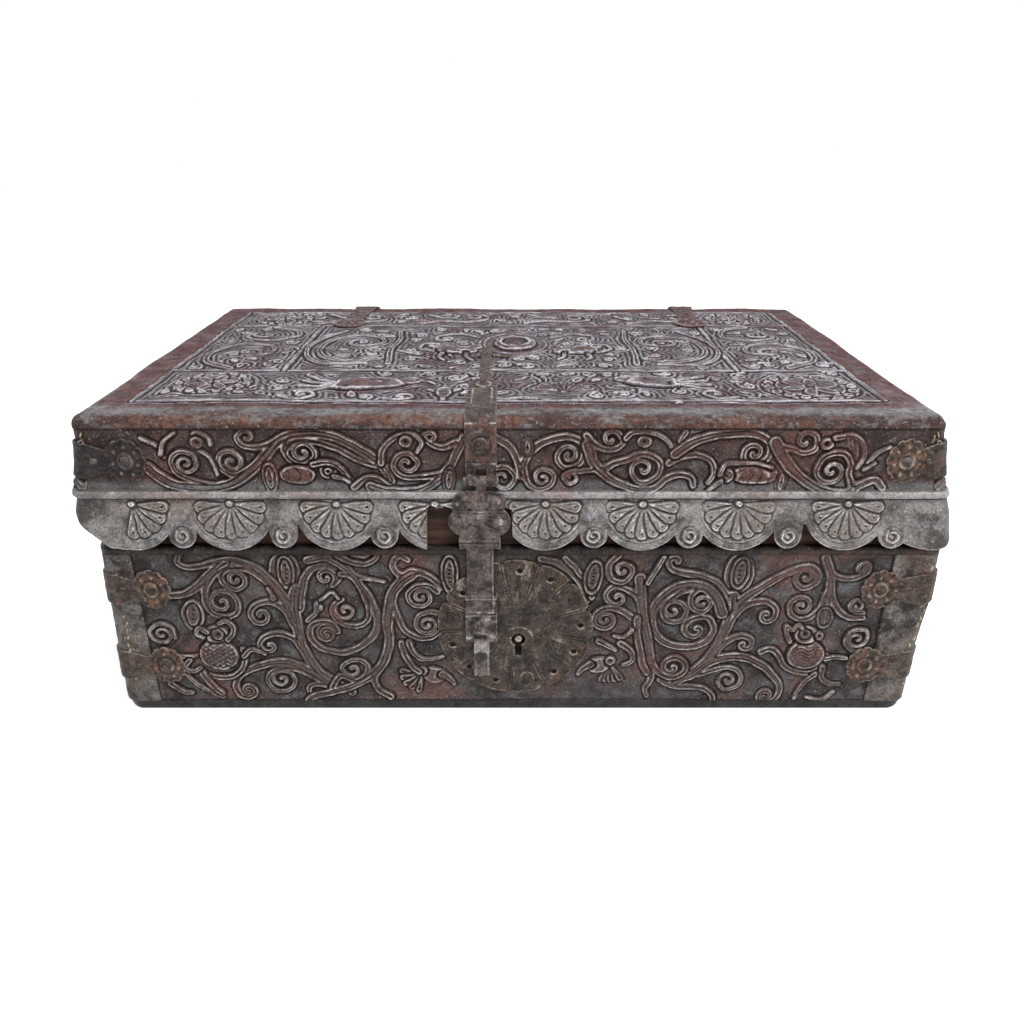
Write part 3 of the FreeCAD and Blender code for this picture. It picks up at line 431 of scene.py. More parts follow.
def outline(u, offset):
    """Places and normals along the trunk's plan outline, from the middle of the front."""
    straight_x, straight_y = half_width - corner_round, half_depth - corner_round
    turn = math.pi / 2 * corner_round
    length = 4 * (straight_x + straight_y + turn)
    s = np.mod(u + length / 2, length) - length / 2
    sign = np.where(s < 0, -1.0, 1.0)
    s = np.abs(s)
    a = straight_x
    b = a + turn
    c = b + 2 * straight_y
    d = c + turn
    angle = np.where(s < b, np.clip((s - a) / corner_round, 0, None), math.pi / 2)
    angle = angle + np.clip((s - c) / corner_round, 0, math.pi / 2)
    nx, ny = np.sin(angle), -np.cos(angle)
    mx = np.minimum(s, a) - np.clip(s - d, 0, None)
    my = -straight_y + np.clip(s - b, 0, 2 * straight_y)
    reach = corner_round + offset
    return (mx + nx * reach) * sign, my + ny * reach, nx * sign, ny


# Middles of the sides and of the back, along the outline
side_middle = half_width - corner_round + math.pi / 2 * corner_round + half_depth - corner_round
rear_middle = 2 * side_middle


# The old box has settled: its base leans to the right, and the lid's corners stand out below.
# Each table gives the shift in x at some heights, for the left and for the right end.
base_lean = ((0, 20, 60, 112, 166, 212), (-4, -4, -2, 0, 3, 4), (9, 9, 8.5, 13, 11, 8))
lid_lean = ((173, 205, 218, 228, 240, 252, 265, 290), (-11, -11, -10, -8.5, -5, -2, 0, 0),
            (11, 10, 8, 4, 1, -2, -4, -8))
lean_from, lean_full = half_width - 34, half_width - 4
lid_lean_low = 262  # below this the lid's lean fades towards the back
lid_lean_depth = 90.0
lid_lean_rest = 0.35  # share of it that is left there


def lean(x, y, z, body):
    """Shift along x of a place on the outside of the base or of the lid."""
    levels, left, right = base_lean if body == "base" else lid_lean
    near = step_up(lean_from, lean_full, np.abs(x))
    if body == "lid":
        fade = band(np.clip(y + half_depth, 0, None), lid_lean_depth)
        near = near * np.where(z < lid_lean_low, lid_lean_rest + (1 - lid_lean_rest) * fade, 1.0)
    return near * np.where(x < 0, np.interp(z, levels, left), np.interp(z, levels, right))


def add_object(name, data):
    thing = bpy.data.objects.new(name, data)
    bpy.context.scene.collection.objects.link(thing)
    return thing


def add_fields(mesh, fields):
    """Numbers of the vertices, under the names that the materials read."""
    for key, values in fields.items():
        layer = mesh.attributes.new(key, "FLOAT", "POINT")
        layer.data.foreach_set("value", np.asarray(values, np.float32).ravel())


def make_mesh(name, vertices, faces, fields):
    """Object from arrays; faces is a list of arrays, each with one number of corners a face."""
    mesh = bpy.data.meshes.new(name)
    vertices = np.ascontiguousarray(vertices, np.float32) * MM
    loops = np.concatenate([np.asarray(f).ravel() for f in faces]).astype(np.int32)
    sizes = np.concatenate([np.full(len(f), np.asarray(f).shape[1]) for f in faces])
    starts = np.concatenate([[0], np.cumsum(sizes)[:-1]]).astype(np.int32)
    mesh.vertices.add(len(vertices))
    mesh.vertices.foreach_set("co", vertices.ravel())
    mesh.loops.add(len(loops))
    mesh.loops.foreach_set("vertex_index", loops)
    mesh.polygons.add(len(sizes))
    mesh.polygons.foreach_set("loop_start", starts)
    mesh.update(calc_edges=True)
    mesh.validate()
    mesh.polygons.foreach_set("use_smooth", np.ones(len(mesh.polygons), bool))
    add_fields(mesh, fields)
    return add_object(name, mesh)


def grid_faces(index):
    """Quads of a grid of vertex numbers."""
    corners = [index[:-1, :-1], index[1:, :-1], index[1:, 1:], index[:-1, 1:]]
    return np.stack(corners, -1).reshape(-1, 4)


def strip_faces(a, b):
    """Quads between two rows of vertex numbers."""
    return np.stack([a[:-1], a[1:], b[1:], b[:-1]], -1)


def wall_mesh(name, us, low, high, rows, outer, inner, tooling, body, rub_and_shade, thin=False):
    """Closed sheet that stands along the outline between two edges.

    low and high give z along us, outer(u, z) and inner(u, z) the offsets of its two faces,
    and the function after body how much paler a place is, by rubbing and painted highlight,
    or darker, by painted shade. Both faces of a thin sheet lean.
    """
    share = np.linspace(0, 1, rows)[None, :]
    u = np.repeat(us[:, None], rows, 1)
    z = low[:, None] * (1 - share) + high[:, None] * share
    wear_and_shading = np.clip(tooling.sample(u, z, tooling.wear_and_shading()) + rub_and_shade(u, z), -1, 1)
    form = tooling.sample(u, z, tooling.form())
    x, y, _, _ = outline(u, outer(u, z) + tooling.sample(u, z))
    sheets = [np.stack([x + lean(x, y, z, body), y, z], -1).reshape(-1, 3)]
    for edge in (low, high):
        x, y, _, _ = outline(us, inner(us, edge))
        if thin:
            x = x + lean(x, y, edge, body)
        sheets.append(np.stack([x, y, edge], -1))
    columns = len(us)
    grid = np.arange(columns * rows).reshape(columns, rows)
    low_back = columns * rows + np.arange(columns)
    high_back = low_back + columns
    left = np.concatenate([grid[0], [high_back[0], low_back[0]]])
    right = np.concatenate([grid[-1][::-1], [low_back[-1], high_back[-1]]])
    faces = [grid_faces(grid), strip_faces(low_back, grid[:, 0]),
             strip_faces(grid[:, -1], high_back), strip_faces(high_back, low_back),
             left[None, :], right[None, :]]
    plain = np.zeros(2 * columns)
    return make_mesh(name, np.vstack(sheets), faces, {"wear_and_shading": np.append(wear_and_shading.ravel(), plain),
                                                      "form": np.append(form.ravel(), plain)})


def dress(piece, body, slot, material, *nodes):
    """Body and material of a piece, and the nodes that it stands for; slot is not used."""
    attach(piece, body)
    if nodes:
        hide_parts(*nodes)
    piece.data.materials.clear()
    piece.data.materials.append(material)


def mirrored(middle, sign, points):
    """Points beside a line at middle, on the side that sign gives."""
    return [(middle + sign * u, v) for u, v in points]


# Ornament: scrolls from two trunks, pods, birds and round beasts, and a vine

def scroll_left(t):
    """Tree of scrolls on the left of the base's front."""
    stem, pod = t.stem, t.pod
    t.oval((-199, 147), 14, 21, 0, 1.0, 0.2)
    pod((-198, 148), 8, 17, -2, 4)
    t.grow()
    stem([(-303, 124), (-290, 126), (-278, 133), (-268, 142), (-258, 151), (-249, 157)], 3.0, 5.0)
    stem([(-262, 146), (-270, 133), (-273, 119), (-268, 107), (-257, 102), (-246, 107), (-244, 117)],
         3.2, 1.8, (-258, 117), 1.3)
    stem([(-196, 96), (-202, 120), (-213, 139), (-226, 153), (-243, 160), (-258, 158), (-272, 154),
          (-284, 153), (-291, 158), (-289, 165)], 4.6, 2.4)
    stem([(-197, 108), (-207, 126), (-219, 142), (-232, 151), (-246, 152), (-254, 146), (-254, 137),
          (-246, 131)], 3.6, 1.8, (-243, 141), 1.3)
    stem([(-192, 84), (-198, 102), (-206, 113), (-217, 118), (-228, 115), (-234, 106), (-232, 98)],
         3.6, 2.0, (-225, 104), 0.9)
    stem([(-188, 60), (-193, 73), (-202, 82), (-214, 85), (-225, 81), (-230, 73), (-226, 67)],
         3.4, 2.0, (-221, 72), 0.6)
    stem([(-170, 30), (-186, 38), (-199, 45), (-212, 47), (-223, 43), (-227, 33), (-222, 23),
          (-211, 22)], 2.6, 1.7, (-214, 35), 1.5)
    stem([(-164, 27), (-180, 38), (-195, 48), (-210, 54), (-226, 52), (-241, 46), (-253, 38),
          (-258, 27), (-255, 17)], 4.6, 2.2, (-247, 22), 1.2)
    stem([(-188, 12), (-190, 24), (-181, 29), (-168, 25)], 2.2, 2.8)
    stem([(-150, 20), (-162, 29), (-174, 38), (-184, 51), (-190, 67), (-193, 84), (-194, 100),
          (-194, 116), (-191, 130)], 3.6, 5.0)
    stem([(-189, 112), (-186, 128), (-182, 142), (-174, 152), (-163, 155), (-154, 150), (-152, 142),
          (-158, 135)], 3.8, 1.9, (-164, 143), 1.2)
    t.settle()
    t.grow()
    stem([(-178, 160), (-165, 163), (-152, 158), (-141, 146), (-131, 130), (-123, 112), (-121, 96),
          (-127, 81), (-140, 70), (-157, 64), (-172, 68), (-182, 79), (-182, 91), (-174, 97),
          (-162, 95), (-158, 87)], 3.6, 2.6, (-168, 84), 1.2)
    stem([(-132, 128), (-128, 112), (-130, 99), (-140, 93), (-152, 95), (-160, 104), (-159, 115),
          (-151, 120)], 2.8, 1.7, (-149, 109), 1.3)
    stem([(-184, 99), (-176, 106), (-174, 116)], 2.2, 1.6, (-172, 113), 0.7)
    stem([(-150, 146), (-137, 143), (-124, 141), (-112, 138)], 2.6, 1.4)
    t.settle()
    t.grow()
    stem([(-192, 10), (-186, 15), (-166, 21), (-149, 27), (-134, 36), (-122, 48), (-115, 63),
          (-112, 80), (-112, 96), (-110, 112), (-106, 126), (-98, 138), (-88, 146)], 3.2, 4.8)
    stem([(-168, 26), (-159, 38), (-146, 33), (-137, 38), (-133, 48), (-139, 55), (-149, 55),
          (-157, 49)], 2.8, 1.8, (-148, 46), 0.9)
    stem([(-124, 46), (-128, 34), (-124, 22), (-114, 15)], 3.0, 3.0)
    stem([(-108, 118), (-102, 100), (-96, 87), (-85, 80), (-73, 81), (-64, 88)], 3.0, 2.4)
    stem([(-66, 128), (-74, 134), (-84, 134), (-92, 127)], 2.6, 1.7, (-81, 123), 1.6)
    stem([(-62, 104), (-73, 107), (-84, 103), (-87, 94)], 2.4, 1.6, (-77, 94), 1.5)
    stem([(-94, 142), (-102, 149), (-104, 157), (-98, 164), (-91, 160)], 3.2, 2.6)
    stem([(-98, 140), (-90, 148), (-80, 147), (-71, 142), (-62, 132)], 3.4, 2.6)
    t.settle()
    stem([(-151, 165), (-141, 158), (-129, 156), (-119, 161), (-117, 167)], 3.0, 2.2)
    stem([(-143, 168), (-136, 164), (-128, 163), (-123, 168)], 1.6, 1.6)
    pod((-286, 104), 10.5, 16, -8, 3)
    pod((-55, 146), 8, 20, 0, 5)
    t.oval((-317, 84), 12.5, 12.5, 0, 0.9, 0.1)
    stem([(-306, 80), (-308, 91), (-318, 95), (-327, 88)], 2.0, 1.5, (-317, 84), 1.4)
    stem([(-318, 30), (-308, 21), (-300, 19)], 2.8, 2.0)
    stem([(-303, 60), (-295, 60), (-289, 61)], 2.2, 1.6)
    stem([(-305, 44), (-296, 32), (-285, 22), (-272, 14)], 2.0, 2.0)
    stem([(-216, 132), (-212, 121)], 1.4, 2.4)
    stem([(-170, 120), (-160, 128), (-154, 121)], 1.6, 1.2)


def scroll_right(t):
    """Tree of scrolls on the right of the base's front."""
    stem, pod = t.stem, t.pod
    t.oval((198, 146), 13.5, 21, 0, 1.0, 0.2)
    pod((199, 147), 8.5, 17, -4, 4)
    t.grow()
    stem([(196, 108), (203, 119), (217, 131), (233, 143), (248, 151), (260, 153), (267, 146),
          (266, 137), (257, 132)], 4.4, 1.8, (257, 143), -1.2)
    stem([(192, 90), (201, 109), (212, 117), (225, 118), (234, 112), (235, 103)], 3.8, 2.2,
         (227, 104), -0.8)
    stem([(181, 54), (189, 70), (198, 79), (208, 82), (216, 78), (217, 71)], 3.6, 2.4,
         (211, 73), -0.5)
    stem([(172, 40), (193, 47), (205, 46), (212, 38), (210, 28), (200, 23)], 2.6, 1.6,
         (200, 33), -1.2)
    stem([(162, 38), (180, 53), (196, 59), (212, 59), (228, 51), (241, 39), (249, 26), (247, 13),
          (237, 8)], 4.8, 2.0, (237, 16), -1.2)
    stem([(137, 34), (150, 27), (165, 26), (178, 24), (186, 17), (188, 11)], 3.2, 2.6)
    stem([(150, 30), (160, 37), (168, 43), (177, 54), (184, 67), (189, 80), (193, 95), (195, 110),
          (195, 124)], 3.6, 5.0)
    stem([(192, 117), (184, 131), (174, 140), (160, 145), (147, 148), (138, 152), (135, 159)],
         4.2, 2.6, (142, 158), -0.4)
    t.settle()
    t.grow()
    stem([(187, 106), (182, 119), (172, 131), (158, 136), (143, 132), (131, 121), (125, 106),
          (127, 89), (136, 77), (150, 71), (165, 71), (177, 78), (181, 90), (176, 101), (166, 102)],
         4.6, 2.4, (165, 89), 1.0)
    stem([(160, 133), (147, 127), (137, 117), (134, 107), (140, 98), (150, 98)], 3.0, 1.7,
         (143, 109), 1.3)
    stem([(166, 134), (158, 123), (160, 112), (168, 108)], 2.8, 1.7, (168, 117), 1.2)
    t.settle()
    t.grow()
    stem([(112, 142), (115, 116), (118, 98), (122, 81), (125, 65), (129, 51), (137, 41), (149, 37),
          (158, 42), (159, 51), (152, 58)], 4.4, 2.2, (147, 48), 0.9)
    stem([(127, 48), (128, 34), (124, 24), (126, 15)], 3.4, 2.2)
    stem([(114, 120), (100, 131), (88, 133), (82, 124), (88, 116)], 3.0, 1.8, (93, 122), 0.8)
    stem([(116, 96), (106, 102), (96, 109), (84, 111), (74, 104), (74, 94), (83, 90)], 3.2, 1.7,
         (83, 99), 1.3)
    t.settle()
    stem([(119, 137), (131, 163)], 2.2, 2.0)
    t.grow()
    stem([(271, 162), (277, 148), (280, 133), (279, 118), (281, 106)], 3.6, 3.6)
    stem([(278, 127), (274, 111), (266, 102), (256, 100), (248, 106), (247, 116), (253, 122)],
         3.0, 1.8, (257, 113), -1.2)
    stem([(279, 146), (288, 142), (299, 141), (309, 146), (311, 153)], 2.8, 1.8, (305, 151), 1.0)
    stem([(279, 135), (283, 123), (291, 109), (302, 101), (314, 101)], 3.2, 2.6)
    t.settle()
    stem([(314, 107), (305, 107), (300, 113), (305, 119)], 2.2, 1.6, (307, 113), -0.8)
    pod((280, 101), 7.5, 11, 3, 0)
    t.ridge([(280, 108), (280, 95)], 0.9, 0.6)
    t.oval((312, 79), 12, 12, 0, 0.9, 0.1)
    stem([(320, 64), (308, 68), (302, 78), (308, 88), (318, 88)], 2.2, 1.5, (312, 79), -1.3)
    stem([(25, 161), (38, 158), (52, 147), (62, 133), (67, 120)], 3.0, 3.0)
    stem([(46, 162), (56, 150), (66, 136), (70, 122)], 2.4, 2.4)
    pod((71, 143), 8.5, 18, -6, 5)
    stem([(92, 165), (84, 155), (86, 142), (97, 138), (104, 146)], 3.0, 1.8, (96, 150), 1.0)
    stem([(112, 100), (113, 84), (116, 68), (120, 52), (124, 42)], 3.0, 3.0)
    stem([(108, 88), (100, 80), (92, 82)], 2.0, 1.4)
    stem([(300, 20), (290, 12), (276, 14)], 2.0, 1.6)


def beast_left(t):
    """Round-bodied beast with a ringed eye, facing left."""
    t.stem([(-290, 44), (-279, 38), (-264, 37), (-252, 43), (-246, 54), (-246, 68)], 2.8, 2.4)
    t.stem([(-246, 60), (-239, 67), (-231, 66), (-226, 63)], 2.4, 1.8)
    t.stem([(-288, 45), (-283, 33), (-277, 24), (-272, 19)], 3.0, 2.8)
    t.stem([(-296, 56), (-302, 48), (-296, 43), (-288, 47)], 2.4, 2.0)
    t.oval((-268, 62), 18, 16, 0, 1.0, 0.5, 1.4)
    for scale_row in range(6):
        z = 72 - 4.2 * scale_row
        reach = 15 * math.sqrt(max(0.05, 1 - ((z - 62) / 17) ** 2))
        for part in range(4):
            x = -268 + reach * (part / 2 - 0.75)
            t.cut([(x - 3, z + 1.4), (x, z - 1.4), (x + 3, z + 1.4)], 0.35, 0.9)
    t.oval((-268, 84), 11, 9, 0, 1.0, 0.5, 0.8)
    t.eye((-267, 83.5), 6, 6, 1.8, 0.1)
    t.stem([(-258, 78), (-253, 84), (-252, 93), (-258, 98), (-264, 95)], 2.4, 2.0)
    t.dot((-259, 94), 1.4)
    t.stem([(-276, 86), (-283, 90), (-286, 84), (-280, 80)], 2.2, 1.6)
    t.dot((-281, 85), 1.2)


def beast_right(t):
    """Its fellow on the right, facing left, with a crest."""
    t.stem([(227, 65), (235, 68), (243, 62), (250, 50), (261, 43), (275, 42), (285, 49), (288, 60)],
         2.8, 2.6)
    t.stem([(287, 57), (296, 59), (306, 58)], 2.4, 2.0)
    t.stem([(286, 48), (287, 36), (295, 29), (304, 29)], 2.8, 2.0)
    t.stem([(280, 40), (272, 31), (267, 21), (265, 13)], 2.6, 1.8)
    t.oval((268, 62), 17, 16, 0, 1.0, 0.5, 1.4)
    for crease in range(7):
        z = 73 - 3.6 * crease
        t.cut([(255 + crease, z - 5), (263, z), (270, z - 3), (278, z + 2)], 0.4, 0.9)
    t.oval((266, 83), 11, 9.5, 0, 1.0, 0.5, 0.8)
    t.eye((265, 83.5), 5.5, 5.5, 1.7, 0.1)
    t.stem([(252, 76), (248, 84), (247, 92), (253, 88), (257, 94), (261, 90)], 2.2, 1.8)
    t.oval((278, 82), 4, 5, 10, 0.9, 0.2)
    t.dot((278, 82), 1.2)


def birds(t):
    """Birds with fan tails, left and right of the lock plate."""
    for side, x, z in ((1, -83, 41), (-1, 90, 52)):
        for feather in range(5):
            a = math.radians(172 + 21 * feather if side > 0 else -112 + 13 * feather)
            t.stem([round_about((x, z), 4, a), round_about((x, z), 19, a)], 1.2, 2.8, height=0.9)
            t.dot(round_about((x, z), 18, a), 1.1, 0.9, 0.1)
        t.oval((x + 11 * side, z - 1), 12, 8.5, -12 * side, 1.0, 0.5, 1.2)
        t.stem(mirrored(x, side, [(18, z - 1), (25, z - 6), (29, z - 12)]), 3.4, 1.8)
        t.oval((x, z + 3), 5, 5, 0, 0.9, 0.3, 0.5)
        t.dot((x, z + 3), 1.5, 1.2, 0.2)
        t.dot((x + 6 * side, z + 5), 1.3, 1.0, 0.2)
    t.stem([(-101, 74), (-98, 60), (-92, 49), (-86, 43)], 3.0, 2.6)
    t.stem([(-94, 75), (-90, 63), (-82, 57), (-72, 57), (-64, 60)], 2.8, 1.8)
    t.stem([(98, 74), (108, 66), (110, 56), (102, 50)], 3.0, 2.0)
    t.stem([(78, 76), (86, 72), (94, 66)], 2.6, 1.8)


def vine(t):
    """Running vine of the lid's front, with curls, pods, heads and birds."""
    stem, pod = t.stem, t.pod
    t.grow()
    stem([(-300, 246), (-290, 236), (-276, 230), (-259, 228), (-243, 229), (-228, 235),
          (-214, 245), (-203, 256), (-194, 266), (-184, 273), (-168, 276), (-151, 275),
          (-136, 269), (-122, 260), (-110, 251), (-103, 240), (-101, 234)], 4.6, 3.6)
    stem([(-186, 262), (-177, 269), (-160, 269), (-142, 262), (-126, 253), (-113, 248)], 3.0, 2.4)
    stem([(-250, 230), (-266, 235), (-278, 243), (-280, 253), (-273, 260), (-263, 258)], 2.6, 1.6,
         (-269, 250), -1.4)
    stem([(-205, 254), (-220, 243), (-232, 240), (-241, 247), (-240, 257), (-232, 261),
          (-224, 257)], 2.6, 1.7, (-231, 251), -0.9)
    stem([(-190, 270), (-206, 264), (-218, 265), (-224, 272), (-219, 278)], 2.8, 1.8,
         (-216, 273), -0.7)
    stem([(-184, 272), (-186, 260), (-180, 251), (-170, 249), (-162, 256)], 2.8, 1.8,
         (-172, 259), 1.2)
    t.settle()
    stem([(-302, 272), (-290, 265), (-286, 255)], 1.8, 1.6)
    stem([(-288, 258), (-284, 268), (-274, 276)], 2.0, 1.4)
    stem([(-244, 240), (-248, 255), (-257, 262)], 1.8, 1.4)
    stem([(-262, 268), (-257, 277), (-248, 273), (-246, 266)], 1.8, 1.6)
    t.eye((-257, 268), 5.5, 5.5)
    pod((-201, 237), 6.5, 14, 2, 2)
    t.oval((-178, 240), 15, 8.5, 0, 1.0, 0.4, 1.2)
    for k in range(3):
        t.cut([(-187 + 9 * k, 246), (-184 + 9 * k, 240), (-187 + 9 * k, 234)], 0.4, 0.7)
    t.oval((-152, 243), 7.5, 7, 0, 1.0, 0.3, 0.6)
    t.oval((-152, 243), 3.6, 3.6, 0, 0.8, 0.1)
    t.dot((-152, 243), 1.2)
    stem([(-164, 249), (-152, 251), (-142, 246), (-136, 236), (-131, 226)], 2.6, 1.8)
    stem([(-148, 238), (-140, 236), (-134, 231)], 2.2, 1.4)
    stem([(-132, 228), (-122, 236), (-112, 236), (-102, 228)], 2.8, 2.8)
    t.grow()
    stem([(-118, 229), (-106, 225), (-92, 224), (-76, 226), (-62, 235), (-52, 247), (-44, 262),
          (-40, 272)], 4.2, 3.4)
    stem([(-58, 240), (-74, 238), (-90, 238), (-98, 246), (-94, 256), (-84, 258), (-78, 251)],
         2.8, 1.8, (-87, 250), -0.9)
    stem([(-46, 268), (-56, 264), (-66, 267), (-72, 273)], 3.0, 1.8, (-66, 272), -0.6)
    t.settle()
    stem([(-108, 250), (-106, 262), (-96, 272), (-82, 275), (-74, 268), (-78, 260)], 2.6, 1.8)
    t.eye((-87, 269), 5.5, 5.5)
    pod((-53, 235), 5, 12, -6, 1)
    t.grow()
    stem([(-14, 272), (-3, 265), (4, 252), (7, 238)], 3.4, 2.8)
    stem([(-13, 246), (-4, 246), (2, 238), (-4, 228), (-13, 230)], 2.4, 1.6, (-7, 237), -0.5)
    stem([(8, 247), (14, 260), (26, 269), (42, 273), (54, 270), (59, 261), (55, 250), (45, 246)],
         3.6, 1.8, (46, 257), -1.3)
    stem([(10, 244), (12, 233), (20, 227), (30, 229), (34, 237)], 2.6, 1.6, (25, 237), 1.3)
    t.settle()
    pod((12, 264), 4.5, 8, 0, 1)
    t.grow()
    stem([(60, 274), (70, 264), (82, 262), (90, 268), (86, 276)], 3.0, 1.8, (80, 271), 0.8)
    stem([(70, 245), (58, 243), (48, 243), (42, 238), (46, 232)], 2.4, 1.6, (48, 238), 0.8)
    stem([(61, 266), (67, 250), (77, 239), (90, 231), (104, 227), (118, 228), (127, 236),
          (137, 240), (147, 238), (150, 230)], 4.4, 2.4)
    stem([(74, 244), (84, 250), (96, 254), (108, 258), (120, 252), (121, 241), (112, 234)],
         3.0, 1.8, (107, 245), -1.2)
    t.settle()
    t.eye((107, 269), 6, 5.5)
    stem([(92, 272), (98, 277), (112, 277), (124, 271), (131, 262)], 2.4, 1.8)
    stem([(140, 277), (136, 268), (142, 262)], 2.4, 1.4)
    stem([(128, 250), (140, 256), (152, 257), (163, 252), (166, 242), (162, 233)], 3.0, 2.0)
    stem([(133, 258), (146, 268), (162, 274), (180, 276), (198, 275), (209, 268), (210, 257),
          (203, 250)], 4.2, 2.0, (197, 259), -1.3)
    t.oval((200, 240), 20, 8.5, 0, 1.0, 0.4, 1.2)
    for k in range(4):
        t.cut([(186 + 8 * k, 247), (190 + 8 * k, 240), (186 + 8 * k, 233)], 0.4, 0.7)
    t.oval((176, 239), 7, 6.5, 0, 1.0, 0.3, 0.6)
    t.dot((176, 239), 1.4, 1.2, 0.4)
    stem([(171, 240), (175, 249), (186, 250), (200, 250), (214, 246)], 2.0, 1.6)
    stem([(172, 234), (165, 228), (160, 222)], 2.2, 1.4)
    pod((223, 233), 4.5, 11, -4, 1)
    t.grow()
    stem([(214, 268), (221, 256), (232, 243), (246, 232), (261, 225), (277, 223), (288, 230),
          (300, 235), (308, 228)], 4.8, 3.0)
    stem([(219, 264), (228, 262), (238, 259), (247, 263), (247, 272)], 2.8, 1.8, (238, 269), 0.8)
    stem([(284, 226), (278, 240), (278, 250), (270, 259), (257, 257), (251, 247)], 3.0, 1.7,
         (263, 243), 1.4)
    t.settle()
    t.eye((256, 267), 5.5, 5, 1.5)
    stem([(262, 272), (274, 274), (284, 269), (288, 258), (284, 246)], 2.4, 1.8)
    for k in range(3):
        t.ridge([(272 + 4 * k, 272 - 2 * k), (276 + 3 * k, 262 - 2 * k)], 0.8, 0.7)
    stem([(292, 250), (298, 259), (308, 264)], 2.0, 1.6)
    stem([(290, 244), (298, 250)], 1.8, 1.4)


def top_ornament(t):
    """Borders, wreaths, scrolls, birds and the oval in the middle of the lid's top."""
    front, back, left, right = -177, 180, -322, 315
    inner_front, inner_back, inner_left, inner_right = -82, 106, -217, 213
    for v in (front, back):
        t.stem(((left, v), (right, v)), 2.6, 2.6, height=0.9, lift=0.1)
    for u in (left, right):
        t.stem(((u, front), (u, back)), 2.6, 2.6, height=0.9, lift=0.1)
    for v in (inner_front, inner_back):
        t.stem(((left, v), (right, v)), 2.6, 2.6, height=0.9, lift=0.1)
    for u in (inner_left, inner_right):
        t.stem(((u, inner_front), (u, inner_back)), 2.6, 2.6, height=0.9, lift=0.1)
    for x, y, r in ((-270, -125, 35), (265, -135, 42), (-270, 145, 33), (262, 145, 33)):
        t.oval((x, y), r, r * 0.95, 0, 1.0, 0.1)
        t.oval((x, y), r * 0.72, r * 0.7, 0, 0.9, 0.1)
        for bead in range(16):
            a = math.radians(22.5 * bead)
            t.oval((x + r * 0.86 * math.cos(a), y + r * 0.83 * math.sin(a)), r * 0.11, r * 0.11,
                   0, 0.8, 0.3)
        for petal in range(6):
            turn = 60 * petal + 15
            t.oval(round_about((x, y), r * 0.38, math.radians(turn)), r * 0.27, r * 0.14, turn,
                   0.8, 0.3)
        t.dot((x, y), 2.4)
    for x, sign in ((-165, 1), (165, -1)):
        t.stem(mirrored(x, sign, [(32, -42), (6, -50), (-22, -34), (-34, 0), (-28, 36), (-4, 56),
                                  (22, 48), (28, 26), (12, 14)]),
               4.5, 2.6, (x + sign * 4, 28), -0.9 * sign)
        t.stem(mirrored(x, sign, [(22, -60), (-20, -58), (-44, -20), (-44, 30), (-20, 78)]), 3.4, 3.0)
        t.stem(mirrored(x, sign, [(40, 80), (44, 40), (40, 0), (44, -60)]), 3.0, 4.0)
    middle = (3, 22)
    t.oval(middle, 34, 44, 0, 1.0, 0.1)
    t.oval(middle, 22, 30, 0, 1.0, 0.3, 2.0)
    t.oval(middle, 12, 18, 0, 0.9, 0.3)
    x = middle[0]
    for side in (-1, 1):
        t.oval((x + side * 62, -8), 24, 12, 12 * side, 1.0, 0.5, 1.8)
        t.oval((x + side * 42, 6), 8, 8, 0, 0.9, 0.3, 0.6)
        t.dot((x + side * 41, 7), 1.5)
        t.stem(mirrored(x, side, [(84, -12), (98, -2), (96, 16), (84, 18)]), 3.0, 1.8,
               (x + side * 86, 10), 0.8 * side)
        t.stem(mirrored(x, side, [(50, -18), (48, -34), (42, -44)]), 3, 2)
        t.stem(mirrored(x, side, [(74, -18), (76, -34), (70, -44)]), 3, 2)
        t.stem(mirrored(x, side, [(40, 52), (60, 66), (82, 58), (84, 40)]), 3.4, 2.0,
               (x + side * 74, 44), -0.9 * side)
    t.oval((-130, -128), 38, 15, 10, 1.0, 0.5, 2.0)
    t.oval((-92, -118), 10, 9, 0, 1.0, 0.3, 0.8)
    t.dot((-91, -116), 1.6)
    t.stem([(-84, -116), (-76, -120), (-70, -126)], 3, 1.4)
    for k in range(4):
        t.stem([(-160, -134 + 4 * k), (-176, -146 + 12 * k), (-190, -150 + 18 * k)], 2.0, 3.0)
    t.oval((128, -124), 28, 14, -8, 1.0, 0.5, 2.0)
    t.oval((102, -114), 9, 8, 0, 1.0, 0.3, 0.8)
    t.dot((101, -113), 1.5)
    for k in range(4):
        t.stem([(150, -130 + 4 * k), (164, -140 + 10 * k), (176, -146 + 15 * k)], 2.0, 3.0)
    t.fan((45, -152), 30, 9, 20, 160)
    t.stem([(-60, -170), (-62, -154), (-74, -142)], 3, 2)
    t.stem([(-60, -170), (-58, -154), (-46, -142)], 3, 2)
    t.oval((-60, -150), 7, 12, 0, 0.9, 0.3)
    t.stem([(-200, -165), (-186, -172), (-172, -164), (-176, -152)], 3, 1.8, (-182, -158), 0.8)
    t.stem([(-110, -170), (-98, -174), (-86, -166)], 3, 1.8, (-95, -163), 0.8)
    t.stem([(192, -168), (178, -172), (166, -162)], 3, 1.8, (176, -158), -0.8)
    t.stem([(20, -172), (6, -168), (-10, -172), (-26, -166)], 3, 2.2)
    for x in (-180, -60, 60, 180):
        t.stem(mirrored(x, 1, [(-44, 120), (-20, 132), (8, 128), (30, 140), (26, 160), (8, 162)]),
               4, 2, (x + 12, 150), -0.9)
        t.stem(mirrored(x, 1, [(-40, 168), (-22, 150), (-6, 146)]), 3, 2)
    for x, sign in ((-270, 1), (265, -1)):
        t.stem(mirrored(x, sign, [(0, -74), (-30, -50), (-36, -10), (-14, 20), (18, 12), (24, -16),
                                  (4, -28)]), 4.4, 2.4, (x, -12), 0.9 * sign)
        t.stem(mirrored(x, sign, [(0, 98), (30, 80), (34, 50), (6, 36), (-18, 50), (-14, 70)]),
               4.0, 2.2, (x, 62), 0.8 * sign)


